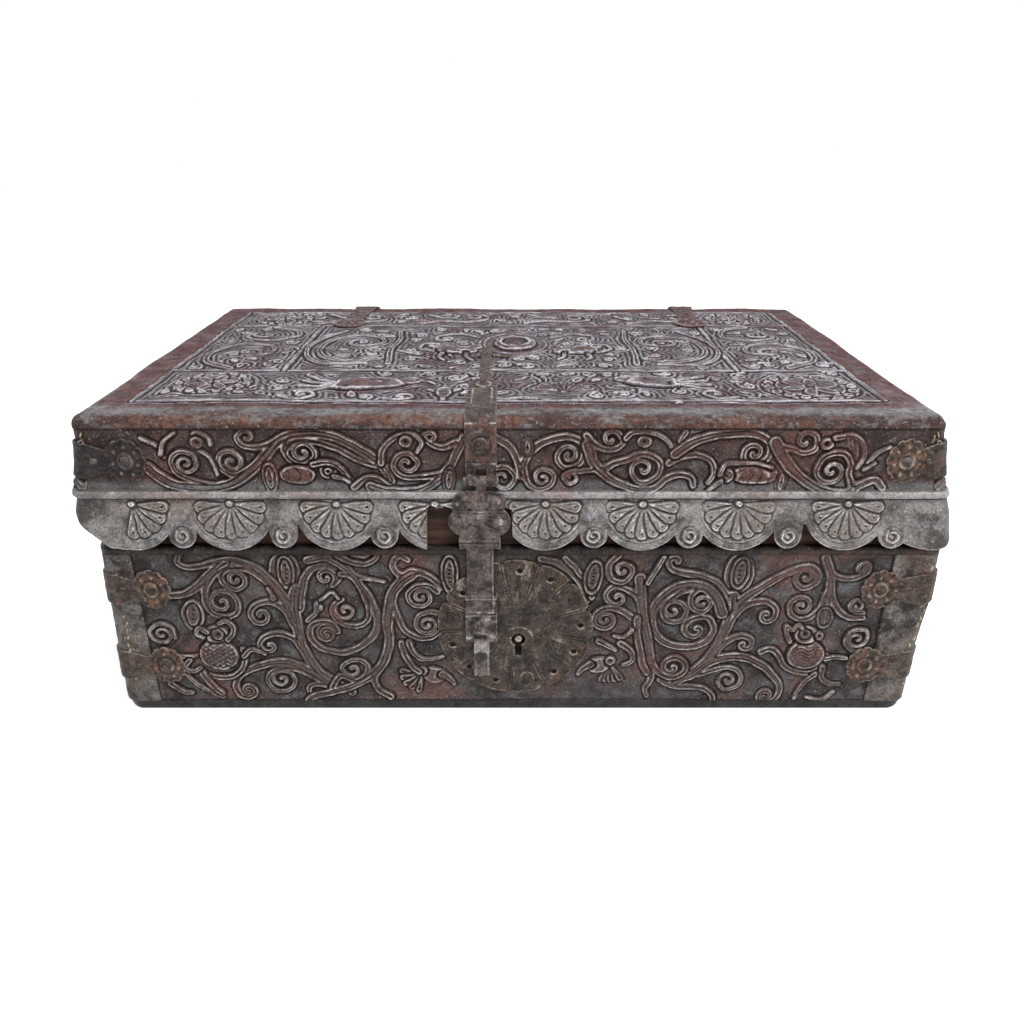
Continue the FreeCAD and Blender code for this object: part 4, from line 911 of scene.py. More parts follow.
def palmette(t, middle, half=False):
    """Fan of petals in a thin arc; where half is set only its right side is left."""
    low, petals = (-94, 5) if half else (-176, 9)
    arc = np.radians(np.linspace(low, -4, 13))
    t.ridge(np.stack([middle + 32 * np.cos(arc), 213 + 32 * np.sin(arc)], -1), 0.5, 0.5)
    t.fan((middle, 213.5), 30.5, petals, low + 2, -6)


def lobe_curl(t, middle):
    """Spiral in a small lobe of the skirt."""
    t.oval((middle, 185.5), 7.5, 7.5, 0, 0.7, 0.1)
    t.stem([(middle - 4, 190), (middle - 5, 184), (middle, 180.5), (middle + 4.5, 184)],
           1.1, 0.9, (middle, 186), 0.8, 0.9, height=0.8)


# Materials

def tint(red, green, blue):
    """Linear colour from the usual 0 to 255 numbers."""
    def linear(value):
        share = value / 255
        return share / 12.92 if share <= 0.04045 else ((share + 0.055) / 1.055) ** 2.4
    return (linear(red), linear(green), linear(blue), 1.0)


def darker(colour, share):
    return tuple(share * value for value in colour[:3]) + (1.0,)


class Nodes:
    """Node tree of a material or of the world."""

    def __init__(self, owner):
        owner.use_nodes = True
        self.tree = owner.node_tree
        self.tree.nodes.clear()

    def add(self, kind):
        return self.tree.nodes.new(kind)

    def put(self, value, socket):
        """Link a socket to another one, or give it a value."""
        if isinstance(value, bpy.types.NodeSocket):
            self.tree.links.new(value, socket)
        else:
            socket.default_value = value

    def combine(self, kind, a, b):
        node = self.add("ShaderNodeMath")
        node.operation = kind
        self.put(a, node.inputs[0])
        self.put(b, node.inputs[1])
        return node.outputs["Value"]

    def seen_ray(self):
        """1 for rays that show the background: camera, glossy and transmission rays."""
        path = self.add("ShaderNodeLightPath")
        total = path.outputs["Is Camera Ray"]
        for key in ("Is Glossy Ray", "Is Transmission Ray"):
            total = self.combine("MAXIMUM", total, path.outputs[key])
        return total


class Finish(Nodes):
    """Node tree of a surface; lengths are in millimetres on the object."""

    def __init__(self, name, roughness, metallic=0.0, specular=0.5):
        self.material = bpy.data.materials.new(name)
        super().__init__(self.material)
        self.shader = self.add("ShaderNodeBsdfPrincipled")
        self.put(self.shader.outputs["BSDF"], self.add("ShaderNodeOutputMaterial").inputs["Surface"])
        for key, value in (("Roughness", roughness), ("Metallic", metallic),
                           ("Specular IOR Level", specular)):
            self.shader.inputs[key].default_value = value
        self.place = self.add("ShaderNodeTexCoord").outputs["Object"]

    def spot(self, seed, stretch=(1, 1, 1)):
        """Places shifted by a seed, so that no two noises agree."""
        mapping = self.add("ShaderNodeMapping")
        self.put(self.place, mapping.inputs["Vector"])
        mapping.inputs["Location"].default_value = (seed * 3.7, seed * 1.9, seed * 5.3)
        mapping.inputs["Scale"].default_value = stretch
        return mapping.outputs["Vector"]

    def noise(self, size, seed=0, detail=3.0, harsh=0.55, stretch=(1, 1, 1)):
        node = self.add("ShaderNodeTexNoise")
        self.put(self.spot(seed, stretch), node.inputs["Vector"])
        node.inputs["Scale"].default_value = 1 / (size * MM)
        node.inputs["Detail"].default_value = detail
        node.inputs["Roughness"].default_value = harsh
        return node.outputs["Fac"]

    def cells(self, size, seed=0):
        node = self.add("ShaderNodeTexVoronoi")
        self.put(self.spot(seed), node.inputs["Vector"])
        node.inputs["Scale"].default_value = 1 / (size * MM)
        return node.outputs["Distance"]

    def span(self, value, low, high, to_low=0.0, to_high=1.0):
        """Smooth step of a value between two of its levels."""
        node = self.add("ShaderNodeMapRange")
        node.interpolation_type = "SMOOTHSTEP"
        for key, number in (("From Min", low), ("From Max", high),
                            ("To Min", to_low), ("To Max", to_high)):
            node.inputs[key].default_value = number
        self.put(value, node.inputs["Value"])
        return node.outputs["Result"]

    def mix(self, share, a, b):
        node = self.add("ShaderNodeMix")
        node.data_type = "RGBA"
        self.put(share, node.inputs["Factor"])
        self.put(a, node.inputs[6])
        self.put(b, node.inputs[7])
        return node.outputs[2]

    def times(self, product, *others):
        for other in others:
            product = self.combine("MULTIPLY", product, other)
        return product

    def over(self, colour, other, *shares):
        """Another colour laid over one, by the product of the shares."""
        return self.mix(self.times(*shares), colour, other)

    def field(self, name):
        node = self.add("ShaderNodeAttribute")
        node.attribute_name = name
        return node.outputs["Fac"]

    def axes(self):
        node = self.add("ShaderNodeSeparateXYZ")
        self.put(self.place, node.inputs["Vector"])
        return node.outputs

    def bump(self, height, depth, normal=None):
        node = self.add("ShaderNodeBump")
        node.inputs["Distance"].default_value = depth * MM
        self.put(height, node.inputs["Height"])
        if normal is not None:
            self.put(normal, node.inputs["Normal"])
        return node.outputs["Normal"]

    def done(self, colour, normal, roughness=None):
        self.put(colour, self.shader.inputs["Base Color"])
        self.put(normal, self.shader.inputs["Normal"])
        if roughness is not None:
            self.put(roughness, self.shader.inputs["Roughness"])
        return self.material


def leather(name, colours, red_share, dust_share, light_share, foot_share=0.0):
    """Old tooled hide: dark ground, redder raised forms, ridges rubbed and lit with painted
    highlight, painted shade in the cuts, dust on the ground.

    foot_share is how much dust lies along the lower edge of the lid's walls.
    """
    deep, ground, raised, red, light, dust = (tint(*colour) for colour in colours)
    black = darker(deep, 0.5)
    f = Finish(name, 0.62, specular=0.14)
    wear_and_shading, form = f.field("wear_and_shading"), f.field("form")
    colour = f.mix(f.span(f.noise(26, 1, 6, 0.7), 0.38, 0.62), deep, ground)
    patches = f.span(f.noise(58, 2, 6, 0.62), 0.62 - 0.24 * red_share, 0.76 - 0.2 * red_share)
    body = f.over(raised, red, patches, 0.85)
    colour = f.mix(f.combine("MAXIMUM", f.times(form, 0.7), f.times(patches, 0.75)), colour, body)
    dusty = f.span(f.noise(13, 3, 6, 0.7), 0.62 - 0.3 * dust_share, 0.82 - 0.3 * dust_share)
    colour = f.over(colour, dust, dusty, f.span(form, 0.0, 1.0, 1.0, 0.45), 0.6)
    if foot_share:
        foot = f.span(f.axes()["Z"], (welt_top + 3) * MM, (welt_top + 11) * MM, foot_share, 0.0)
        colour = f.over(colour, dust, foot, f.span(f.noise(20, 9, 4), 0.3, 0.55, 0.4, 1.0))
    # Painted shade: the cuts and hollows of the relief, and the shaded seams and places that the
    # pieces mark, go black
    colour = f.over(colour, black, f.span(wear_and_shading, -0.05, -0.6), 0.92)
    uneven = f.span(f.noise(9, 4, 4), 0.36, 0.6, 0.12, 1.0)
    # Painted highlight together with rubbed wear: paler where the relief stands out
    colour = f.over(colour, light, f.span(wear_and_shading, 0.33, 0.88), uneven, light_share)
    colour = f.over(colour, light, f.span(f.noise(2.6, 5, 5, 0.85), 0.58, 0.68), 0.6)
    colour = f.mix(f.span(f.noise(1.9, 6, 5, 0.8), 0.36, 0.56, 0.3, 1.0), black, colour)
    grain = f.bump(f.noise(2.6, 7, 6, 0.75), 0.9, f.bump(f.cells(1.6, 6), 0.25))
    return f.done(colour, grain, f.span(f.noise(14, 8), 0.3, 0.7, 0.38, 0.66))


def top_leather(name, colours):
    """Hide of the lid's top: pale ground, dark carved lines with painted shade in the cuts, painted
    highlight on the ridges, maroon patches and borders.
    """
    line, maroon, red, grey, pale, light, orange, brown, dust = (
        tint(*colour) for colour in colours)
    f = Finish(name, 0.6, specular=0.14)
    wear_and_shading, form, roll_up = f.field("wear_and_shading"), f.field("form"), f.field("roll_up")
    x, y, _ = f.axes()
    along = f.combine("ABSOLUTE", x, 0.0)
    ground = f.mix(f.span(f.noise(40, 1, 5, 0.65), 0.36, 0.64), grey, pale)
    dark_red = f.mix(f.span(f.noise(18, 2, 5, 0.65), 0.4, 0.6), maroon, red)
    patches = f.span(f.noise(42, 3, 5, 0.6), 0.52, 0.62)
    inside = f.times(form, f.span(f.noise(30, 9, 4), 0.4, 0.58, 0.05, 0.7))
    colour = f.mix(f.combine("MAXIMUM", inside, f.times(patches, 0.7)), ground, dark_red)
    border = f.mix(f.span(f.noise(24, 4, 6, 0.7), 0.50, 0.70), dark_red, grey)
    border = f.over(border, dark_red, f.span(along, 318 * MM, 328 * MM), 0.8)
    colour = f.mix(f.field("plain"), colour, border)

    # Dust along the front, above the roll
    settled = f.mix(f.span(f.noise(20, 5, 6, 0.65, (0.5, 1, 1)), 0.30, 0.55), brown, dust)
    in_front = f.span(y, -190 * MM, -178 * MM, 1.0, 0.0)
    colour = f.over(colour, settled, f.span(roll_up, 0.62, 0.84, 1.0, 0.0), in_front,
                    f.span(f.noise(26, 6, 4), 0.3, 0.5, 0.35, 0.9))

    # Worn orange and brown below it
    ends = f.times(f.span(along, 300 * MM, 352 * MM, 0.0, 0.22), f.noise(30, 14, 3))
    level = f.combine("ADD", f.times(f.noise(16, 15, 3), 0.16), ends)
    under = f.span(f.combine("ADD", roll_up, level), 0.34, 0.50, 1.0, 0.0)
    worn = f.mix(f.span(f.noise(22, 7, 6, 0.7, (0.4, 1, 1)), 0.42, 0.6), brown, orange)
    worn = f.mix(f.span(f.noise(11, 16, 6, 0.75, (0.5, 1, 1)), 0.48, 0.64, 0.0, 0.75), worn, dust)
    colour = f.mix(under, colour, worn)

    colour = f.mix(f.span(roll_up, 0.01, 0.05, 0.85, 0.0), colour, line)
    # Painted shade: the cuts of the relief go dark
    colour = f.over(colour, line, f.span(wear_and_shading, 0.08, -0.19), 0.97)
    uneven = f.span(f.noise(12, 13, 4), 0.3, 0.6, 0.2, 0.9)
    # Painted highlight where the relief stands out
    colour = f.over(colour, light, f.span(wear_and_shading, 0.22, 0.8), uneven)
    colour = f.over(colour, light, f.span(f.noise(2.8, 8, 5, 0.8), 0.58, 0.68), 0.5)
    colour = f.mix(f.span(f.noise(1.8, 10, 5, 0.75), 0.3, 0.58, 0.35, 1.0), line, colour)
    grain = f.bump(f.noise(2.8, 11, 6, 0.75), 0.9, f.bump(f.cells(1.8, 6), 0.25))
    return f.done(colour, grain, f.span(f.noise(14, 12), 0.3, 0.7, 0.4, 0.7))


def iron(name, colours, rust_share, metallic=0.2):
    """Forged iron: dark scale, rust, pits, engraved lines, bright worn edges with painted highlights,
    and painted shade in its hollows and creases.
    """
    dark, middle, rust, bright = (tint(*colour) for colour in colours)
    f = Finish(name, 0.6, metallic, 0.25)
    wear_and_shading = f.field("wear_and_shading")
    edges = f.add("ShaderNodeNewGeometry").outputs["Pointiness"]
    colour = f.mix(f.span(f.noise(12, 1, 6, 0.72), 0.38, 0.62), dark, middle)
    mottled = f.combine("ADD", f.noise(7, 2, 6, 0.72), f.times(f.field("rusty"), 0.22))
    patches = f.span(mottled, 0.70 - 0.3 * rust_share, 0.86 - 0.3 * rust_share)
    colour = f.over(colour, rust, patches, 0.85)
    # Bright: worn convex edges, and the bare places and painted highlights that the forged pieces
    # mark
    worn = f.combine("MAXIMUM", f.span(edges, 0.515, 0.57), f.span(wear_and_shading, 0.15, 0.9))
    colour = f.over(colour, bright, worn, f.span(f.noise(4, 3, 4), 0.3, 0.55), 0.75)
    # Painted shade: concave places, and the grooves, creases and hollows that the forged pieces mark,
    # go darker
    sunk = f.combine("MAXIMUM", f.span(edges, 0.485, 0.43), f.span(wear_and_shading, -0.1, -0.8))
    colour = f.over(colour, darker(dark, 0.35), sunk, 0.85)
    colour = f.over(colour, bright, f.span(f.noise(1.9, 7, 5, 0.8), 0.57, 0.68), 0.55)
    fine = f.span(f.noise(1.7, 6, 5, 0.8), 0.34, 0.58, 0.3, 1.0)
    colour = f.mix(fine, darker(dark, 0.6), colour)
    pits = f.bump(f.noise(1.8, 4, 6, 0.78), 0.7)
    return f.done(colour, pits, f.span(f.noise(5, 5, 4), 0.3, 0.7, 0.4, 0.72))


def wood(name, dark, light, along=(0.12, 1, 1)):
    """Bare board: grain along it, with darker pores."""
    dark, light = tint(*dark), tint(*light)
    f = Finish(name, 0.78, specular=0.25)
    colour = f.mix(f.span(f.noise(7, 1, 5, 0.6, along), 0.32, 0.68), dark, light)
    colour = f.over(colour, dark, f.span(f.noise(60, 2, 4), 0.45, 0.7), 0.6)
    return f.done(colour, f.bump(f.noise(1.8, 3, 4, 0.7, along), 0.5))


def thread(name, dark, light):
    """Waxed cord with strands."""
    f = Finish(name, 0.8, specular=0.2)
    colour = f.mix(f.span(f.noise(3.5, 1, 4), 0.35, 0.62), tint(*dark), tint(*light))
    return f.done(colour, f.bump(f.noise(0.6, 2, 2, 0.6, (1, 1, 0.4)), 0.3))


front_leather = leather("front_leather", (
    (43, 35, 35), (83, 76, 76), (101, 85, 80), (116, 81, 73), (190, 184, 180), (110, 117, 121)),
    0.6, 0.44, 0.88)
lid_leather = leather("lid_leather", (
    (48, 35, 33), (77, 65, 63), (97, 74, 68), (106, 69, 61), (198, 191, 187), (124, 124, 127)),
    0.65, 0.32, 0.85, 0.75)
top_hide = top_leather("top_leather", (
    (30, 21, 25), (66, 36, 38), (94, 54, 53), (90, 84, 88), (121, 117, 122), (206, 205, 209),
    (107, 75, 61), (66, 49, 44), (122, 122, 124)))
flap_leather = leather("flap_leather", (
    (74, 69, 66), (145, 141, 139), (140, 132, 127), (132, 114, 106), (236, 233, 228),
    (168, 170, 176)), 0.4, 0.45, 0.9)
welt_leather = leather("welt_leather", (
    (112, 107, 105), (170, 166, 164), (160, 148, 143), (150, 124, 118), (222, 218, 212),
    (172, 174, 179)), 0.4, 0.4, 0.8)
edge_leather = leather("edge_leather", (
    (34, 28, 26), (70, 60, 55), (82, 64, 56), (92, 64, 52), (150, 134, 116), (92, 89, 87)),
    0.4, 0.3, 0.8)
corner_leather = leather("corner_leather", (
    (42, 36, 35), (114, 106, 102), (122, 107, 99), (110, 84, 72), (214, 204, 182),
    (144, 140, 136)), 0.3, 0.5, 0.9)
pan_leather = leather("pan_leather", (
    (32, 30, 31), (56, 53, 54), (60, 54, 53), (64, 50, 46), (98, 94, 90), (80, 80, 83)),
    0.3, 0.3, 0.5)
strap_metal = iron(
    "strap_metal", ((34, 27, 25), (84, 69, 63), (118, 85, 67), (178, 164, 150)), 0.3)
dark_metal = iron(
    "dark_metal", ((26, 20, 20), (50, 42, 41), (76, 54, 44), (140, 132, 130)), 0.15)
hasp_metal = iron(
    "hasp_metal", ((44, 37, 35), (112, 101, 98), (120, 91, 78), (180, 174, 172)), 0.25)
flap_metal = iron(
    "flap_metal", ((38, 27, 25), (80, 67, 64), (102, 73, 62), (190, 181, 178)), 0.3)
hinge_metal = iron(
    "hinge_metal", ((42, 26, 28), (84, 56, 56), (110, 66, 60), (160, 148, 150)), 0.4)
lock_metal = iron(
    "lock_metal", ((26, 21, 19), (75, 65, 60), (104, 76, 58), (176, 160, 142)), 0.25)
# Painted shade: a near-black copy of the iron for the lock's parts inside the trunk
inside_shade_metal = iron(
    "inside_shade_metal", ((10, 9, 9), (20, 18, 17), (30, 22, 18), (60, 54, 50)), 0.2)
pin_metal = iron(
    "pin_metal", ((84, 70, 62), (138, 121, 109), (126, 98, 80), (196, 182, 170)), 0.1, 0.5)
board_wood = wood("board_wood", (36, 24, 20), (78, 54, 42))
peg_wood = wood("peg_wood", (84, 58, 40), (140, 104, 74), (1, 1, 0.2))
stitch_cord = thread("stitch_cord", (104, 88, 72), (172, 155, 130))


# Hides on the walls of the base and of the lid

front_pitch, side_pitch, back_pitch = 0.75, 1.3, 1.5  # of the meshes
guessed_pitch = 1.0  # of the height maps of the sides and the back
front_depth, guessed_depth = 2.0, 1.8  # of the tooling
side_shift = 162  # of the base's ornament on its sides
lid_side_shift = -90


def axis(low, high, pitch):
    return np.linspace(low, high, max(2, int(round((high - low) / pitch)) + 1))


def constant(us, value):
    return np.full(len(us), float(value))


def flat(value):
    return lambda u, z: np.full(np.shape(u), float(value))


def moved(tooling, shift, mirror=False):
    """The same ornament elsewhere along the outline."""
    copy = Tooling(0, tooling.pitch, 0, tooling.pitch, tooling.pitch, tooling.depth)
    copy.v, copy.h, copy.near, copy.u = tooling.v, tooling.h, tooling.near, tooling.u + shift
    if mirror:
        copy.h, copy.near, copy.u = tooling.h[::-1], tooling.near[::-1], shift - tooling.u[::-1]
    return copy


def seam_shade(low, high, half=1.0, share=0.9):
    """Dark lines along a strip's lower and upper edge."""
    return lambda u, z: -share * (band(z - low, half) + band(high - z, half))


def hide_wall(name, body, node, middle, half, pitch, bottom, top, tooling, material, shade=flat(0)):
    """Leather on a wall, between two places along the outline."""
    seams = seam_shade(bottom, top)
    us = axis(middle - half, middle + half, pitch)
    rows = int((top - bottom) / pitch) + 1
    piece = wall_mesh(name, us, constant(us, bottom), constant(us, top), rows, flat(0), flat(-hide),
                      tooling, body, lambda u, z: seams(u, z) + shade(u, z))
    dress(piece, body, "wall_leather", material, node)


def shade_under_plate(u, z):
    """Painted shade on the hide under the lock plate, seen through its holes."""
    return -2.0 * step_up(67, 65, np.hypot(u - plate_middle[0], z - plate_middle[1]))


def draw_base(panel):
    """All the ornament of the base's front."""
    for ornament in (scroll_left, scroll_right, beast_left, beast_right, birds):
        ornament(panel)


front_map = Tooling(-panel_half, panel_half, pan_top, leather_top, front_pitch, front_depth)
front_map.width_share = 1.16
draw_base(front_map)
front_map.echo(2.9, 0.26, 7.5, 9)
front_map.finish(3)
hole_u, hole_v = front_map.u[:, None] - keyhole[0], front_map.v[None, :] - keyhole[1]
slot_below = (np.abs(hole_u) < 3.4) & (hole_v < 0) & (hole_v > -19)
front_map.h[(np.hypot(hole_u, hole_v) < 7) | slot_below] = 0.6 - hide
hide_wall("base_front_hide", "base", "base_front_leather", 0, panel_half, front_pitch, pan_top,
          leather_top, front_map, front_leather, shade_under_plate)

side_map = Tooling(-panel_half, panel_half, pan_top, leather_top, guessed_pitch, guessed_depth)
back_map = Tooling(-panel_half, panel_half, pan_top, back_top, guessed_pitch, guessed_depth)
for panel in (side_map, back_map):
    draw_base(panel)
    panel.fill(21, 23, 8.5, 1.7)
    panel.echo(2.9, 0.26, 7.5, 9)
    panel.finish(8)
for name, sign in (("left", -1), ("right", 1)):
    middle = sign * side_middle
    hide_wall(f"base_{name}_hide", "base", f"base_{name}_leather", middle, side_half, side_pitch,
              pan_top, leather_top, moved(side_map, middle + sign * side_shift, sign < 0),
              front_leather)
hide_wall("base_back_hide", "base", "base_back_leather", rear_middle, panel_half, back_pitch,
          pan_top, back_top, moved(back_map, rear_middle, True), front_leather)

vine_map = Tooling(-lid_seam, lid_seam, skirt_top, roll_low, front_pitch, front_depth)
vine_map.width_share = 1.12
vine(vine_map)
vine_map.echo(2.9, 0.24, 7.5, 12)
vine_map.finish(14)
hide_wall("lid_front_hide", "lid", "lid_front_leather", 0, lid_seam, front_pitch, skirt_top,
          roll_low, vine_map, lid_leather)
for name, sign in (("left", -1), ("right", 1)):
    middle = sign * side_middle
    hide_wall(f"lid_{name}_hide", "lid", f"lid_{name}_leather", middle, side_middle - lid_seam,
              side_pitch, skirt_top, roll_low,
              moved(vine_map, middle + sign * lid_side_shift, sign < 0), lid_leather)
hide_wall("lid_back_hide", "lid", "lid_back_leather", rear_middle, lid_seam, back_pitch,
          lid_back_low, roll_low, moved(vine_map, rear_middle, True), lid_leather)


# Rolled top hide of the lid

top_pitch = 1.0
top_tooled = (322, 183)  # half sizes of the tooled field
top_tooled_middle = (-3.5, -1.5)
top_roll_span = 40.0  # from the hide's lower edge, up over the roll
top_reach = [half - roll + math.pi / 2 * roll for half in (half_width, half_depth)]


def top_place(a, b, lift):
    """Places on the lid's rounded top; a and b are unrolled distances from its middle."""
    flat_x, flat_y = half_width - roll, half_depth - roll
    px, py = np.clip(np.abs(a) - flat_x, 0, None), np.clip(np.abs(b) - flat_y, 0, None)
    theta = np.maximum(px, py) / roll
    share = np.where((px > 0) & (py > 0),
                     np.where(px >= py, 0.5 * py / np.maximum(px, 1e-6),
                              1 - 0.5 * px / np.maximum(py, 1e-6)),
                     np.where(py > 0, 1.0, 0.0))
    phi = share * math.pi / 2
    out = np.sin(theta) * roll
    nx = np.sin(theta) * np.cos(phi) * np.sign(a)
    ny = np.sin(theta) * np.sin(phi) * np.sign(b)
    nz = np.cos(theta)
    x = np.sign(a) * np.clip(np.abs(a), 0, flat_x) + np.sign(a) * out * np.cos(phi)
    y = np.sign(b) * np.clip(np.abs(b), 0, flat_y) + np.sign(b) * out * np.sin(phi)
    return x + nx * lift, y + ny * lift, roll_low + nz * roll + nz * lift


def top_hide_mesh(name, tooling):
    """Closed hide: the tooled top, rolled over the edges, and a face below it."""
    reach_x, reach_y = top_reach
    a, b = np.broadcast_arrays(axis(-reach_x, reach_x, top_pitch)[:, None],
                               axis(-reach_y, reach_y, top_pitch)[None, :])
    near_edge = np.minimum(reach_x - np.abs(a), reach_y - np.abs(b))
    x, y, z = top_place(a, b, tooling.sample(a, b) * step_up(0, 6, near_edge))
    vertices = np.stack([x + lean(x, y, z, "lid"), y, z], -1).reshape(-1, 3)
    index = np.arange(a.size).reshape(a.shape)
    edge = np.concatenate([index[:, 0], index[-1, 1:], index[-2::-1, -1], index[0, -2:0:-1]])
    count = len(edge)
    inner = vertices[edge] * np.array([(half_width - hide) / half_width,
                                       (half_depth - hide) / half_depth, 1.0])
    under = inner.copy()
    under[:, 2] = lid_top - hide - 0.3
    first = a.size + np.arange(count)
    faces = [grid_faces(index)]
    for low, high in ((edge, first), (first, first + count)):
        low, high = np.append(low, low[0]), np.append(high, high[0])
        faces.append(np.stack([low[:-1], high[:-1], high[1:], low[1:]], -1))
    faces.append((first + count)[None, :])
    tooled = (step_up(top_tooled[1] + 1, top_tooled[1] - 1, np.abs(b - top_tooled_middle[1]))
              * step_up(top_tooled[0] + 1, top_tooled[0] - 1, np.abs(a - top_tooled_middle[0])))
    fields = {"wear_and_shading": tooling.sample(a, b, tooling.wear_and_shading()),
              "form": tooling.sample(a, b, tooling.form()) * tooled,
              "plain": 1 - tooled, "roll_up": np.clip(near_edge / top_roll_span, 0, 1)}
    hidden = np.zeros(2 * count)
    return make_mesh(name, np.vstack([vertices, inner, under]), faces,
                     {key: np.append(values.ravel(), hidden) for key, values in fields.items()})


top_map = Tooling(-top_reach[0], top_reach[0], -top_reach[1], top_reach[1], 0.8, 2.0)
top_map.rim_in, top_map.rim_half = 0.9, 0.62
top_map.cut_out, top_map.cut_half = 1.0, 0.85
top_map.width_share = 0.8
top_map.reach = 20
top_ornament(top_map)
top_map.fill(5, 22, 6.5, 1.4)
top_map.echo(5.0, 0.5, 20, 7)
top_map.h *= ((np.abs(top_map.v[None, :] - top_tooled_middle[1]) < top_tooled[1])
              & (np.abs(top_map.u[:, None] - top_tooled_middle[0]) < top_tooled[0]))
top_map.finish(23, 0.8)
dress(top_hide_mesh("lid_top_hide", top_map), "lid", "top_leather", top_hide, "lid_top_leather")


# Skirt

lobe_pitch = 85.4
lobe_radius = 36.0
small_radius = 11.7
large_middles = (-320, -237.7, -148, -65, 27.6, 109.5, 190.3, 282, 352)
small_middles = (-280, -194, -108.5, 69, 150, 233.7, 322)
side_large = tuple((k + 0.5) * lobe_pitch for k in range(-3, 3))
side_small = tuple(k * lobe_pitch for k in range(-2, 3))
notch_top = skirt_top - 22
skirt_turn = lid_seam + math.pi / 2 * corner_round
skirt_end = skirt_turn + 2
skirt_flare = 9.0
skirt_rows = 58
skirt_depth = 1.7
torn_left, torn_right = -72.5, -0.3  # the gap behind the hasp
torn_top = skirt_top - 10

# Cut ends of the front skirt and of the left one: places along it, and the hem's height there
left_cut = ((-skirt_end, -360, -354.7, -346, -338.5, -328), (211, 202, 195, 184.6, 175, 173.4))
right_cut_from = 345
right_cut = ((340, 356, skirt_turn, skirt_end), (172, 174, 182, 190))
side_cut = ((170, 184, 192, 203), (hem_low, 176, 186, 207))


def hem_line(us, large, small):
    """Lower edge of a skirt: round lobes, large and small by turns."""
    z = np.full(len(us), notch_top)
    for middles, radius, lowest in ((large, lobe_radius, hem_low),
                                    (small, small_radius, hem_low + 2)):
        for middle in middles:
            d = np.abs(us - middle)
            arc = lowest + radius - np.sqrt(np.clip(radius**2 - d**2, 0, None))
            z = np.where(d < radius, np.minimum(z, arc), z)
    return z


def skirt_out(z):
    return skirt_flare * (skirt_top - z) / (skirt_top - hem_low)


def skirt_mesh(side, us, low, tooling):
    """Skirt piece that flares outwards, with a thin lip along its hem."""
    def outer(u, z):
        return skirt_out(z) - 1.4 * band(z - low[:, None], 1.3)

    def inner(u, z):
        return skirt_out(z) - skirt_hide

    # Painted highlight along the lip of the hem, and painted shade under the welt at the top
    def rub_and_shade(u, z):
        return 0.9 * band(z - low[:, None] - 0.8, 1.0) - 0.9 * band(skirt_top - z, 1.0)

    piece = wall_mesh(f"lid_{side}_flap", us, low, constant(us, skirt_top), skirt_rows, outer,
                      inner, tooling, "lid", rub_and_shade, True)
    dress(piece, "lid", "skirt_leather", flap_leather, f"lid_{side}_skirt")


front_us = axis(-skirt_end, skirt_end, 0.8)
front_hem = hem_line(front_us, large_middles, small_middles)
torn = (front_us > torn_left) & (front_us < torn_right)
ragged = torn_top + 2.6 * rough(front_us, front_us * 0, 6, 51, 4)
front_hem = np.where(torn, ragged, front_hem)
front_hem = np.where(front_us < left_cut[0][-1], np.interp(front_us, *left_cut), front_hem)
front_hem = np.where(front_us > right_cut_from,
                     np.maximum(np.interp(front_us, *right_cut), hem_low), front_hem)
skirt_map = Tooling(-skirt_turn - 4, skirt_turn + 4, hem_low - 3, skirt_top + 1, 0.8, skirt_depth)
for middle in large_middles[:-1]:
    palmette(skirt_map, middle, middle == large_middles[0])
for middle in small_middles:
    lobe_curl(skirt_map, middle)
skirt_map.finish(31, 0.5)
skirt_mesh("front", front_us, front_hem, skirt_map)

side_us = axis(-side_skirt_half, side_skirt_half, 1.2)
side_hem = hem_line(side_us, side_large, side_small)
side_skirt_map = Tooling(-side_skirt_half - 4, side_skirt_half + 4, hem_low - 3, skirt_top + 1,
                         guessed_pitch, skirt_depth)
for middle in side_large:
    palmette(side_skirt_map, middle)
for middle in side_small:
    lobe_curl(side_skirt_map, middle)
side_skirt_map.finish(37, 0.5)
torn_hem = np.maximum(side_hem, np.interp(side_us, *side_cut))
for side, middle, hem in (("left", -side_middle, torn_hem), ("right", side_middle, side_hem)):
    skirt_mesh(side, side_us + middle, hem, moved(side_skirt_map, middle))


# Welt, edge strips and corner strips

strip_pitch = 1.2
strip_soft = 3  # width of its rounded edges


def round_band(proud, low, high):
    """Offset of a raised strip with rounded edges."""
    return lambda u, z: proud * rounded(np.minimum(z - low, high - z), strip_soft)


def strip_map(low_u, high_u, low, high, pitch, seed, lumps=0.3):
    return Tooling(low_u, high_u, low, high, pitch).finish(seed, lumps, 0.2)


welt_end = side_middle + side_skirt_half
welt_us = axis(-welt_end, welt_end, strip_pitch)
piece = wall_mesh(
    "lid_welt", welt_us, constant(welt_us, skirt_top), constant(welt_us, welt_top), 14,
    round_band(3.0, skirt_top, welt_top), flat(-0.4),
    strip_map(-welt_end, welt_end, skirt_top, welt_top, strip_pitch, 41, 0.35), "lid",
    seam_shade(skirt_top, welt_top, 0.9, 1.0))
dress(piece, "lid", "skirt_leather", welt_leather, "lid_welts")

edge_end = side_middle + side_half
edge_us = axis(-edge_end, edge_end, strip_pitch)
edge_wave = 0.8 * rough(edge_us, edge_us * 0, 30, 43)
# Painted shadow of the skirt: the binding darkens towards its top; painted shade in a dark line along
# its lower edge
piece = wall_mesh(
    "base_edge_binding", edge_us, constant(edge_us, leather_top) + edge_wave - 1,
    constant(edge_us, edge_top) + edge_wave * 0.5, 10, round_band(2.4, leather_top - 1, edge_top),
    flat(-hide), strip_map(-edge_end, edge_end, leather_top - 3, edge_top + 3, strip_pitch, 47),
    "base",
    lambda u, z: -0.5 * step_up(leather_top + 1, edge_top, z) - 0.5 * band(z - leather_top, 0.9))
dress(piece, "base", "binding_leather", edge_leather, "base_edge_strips")


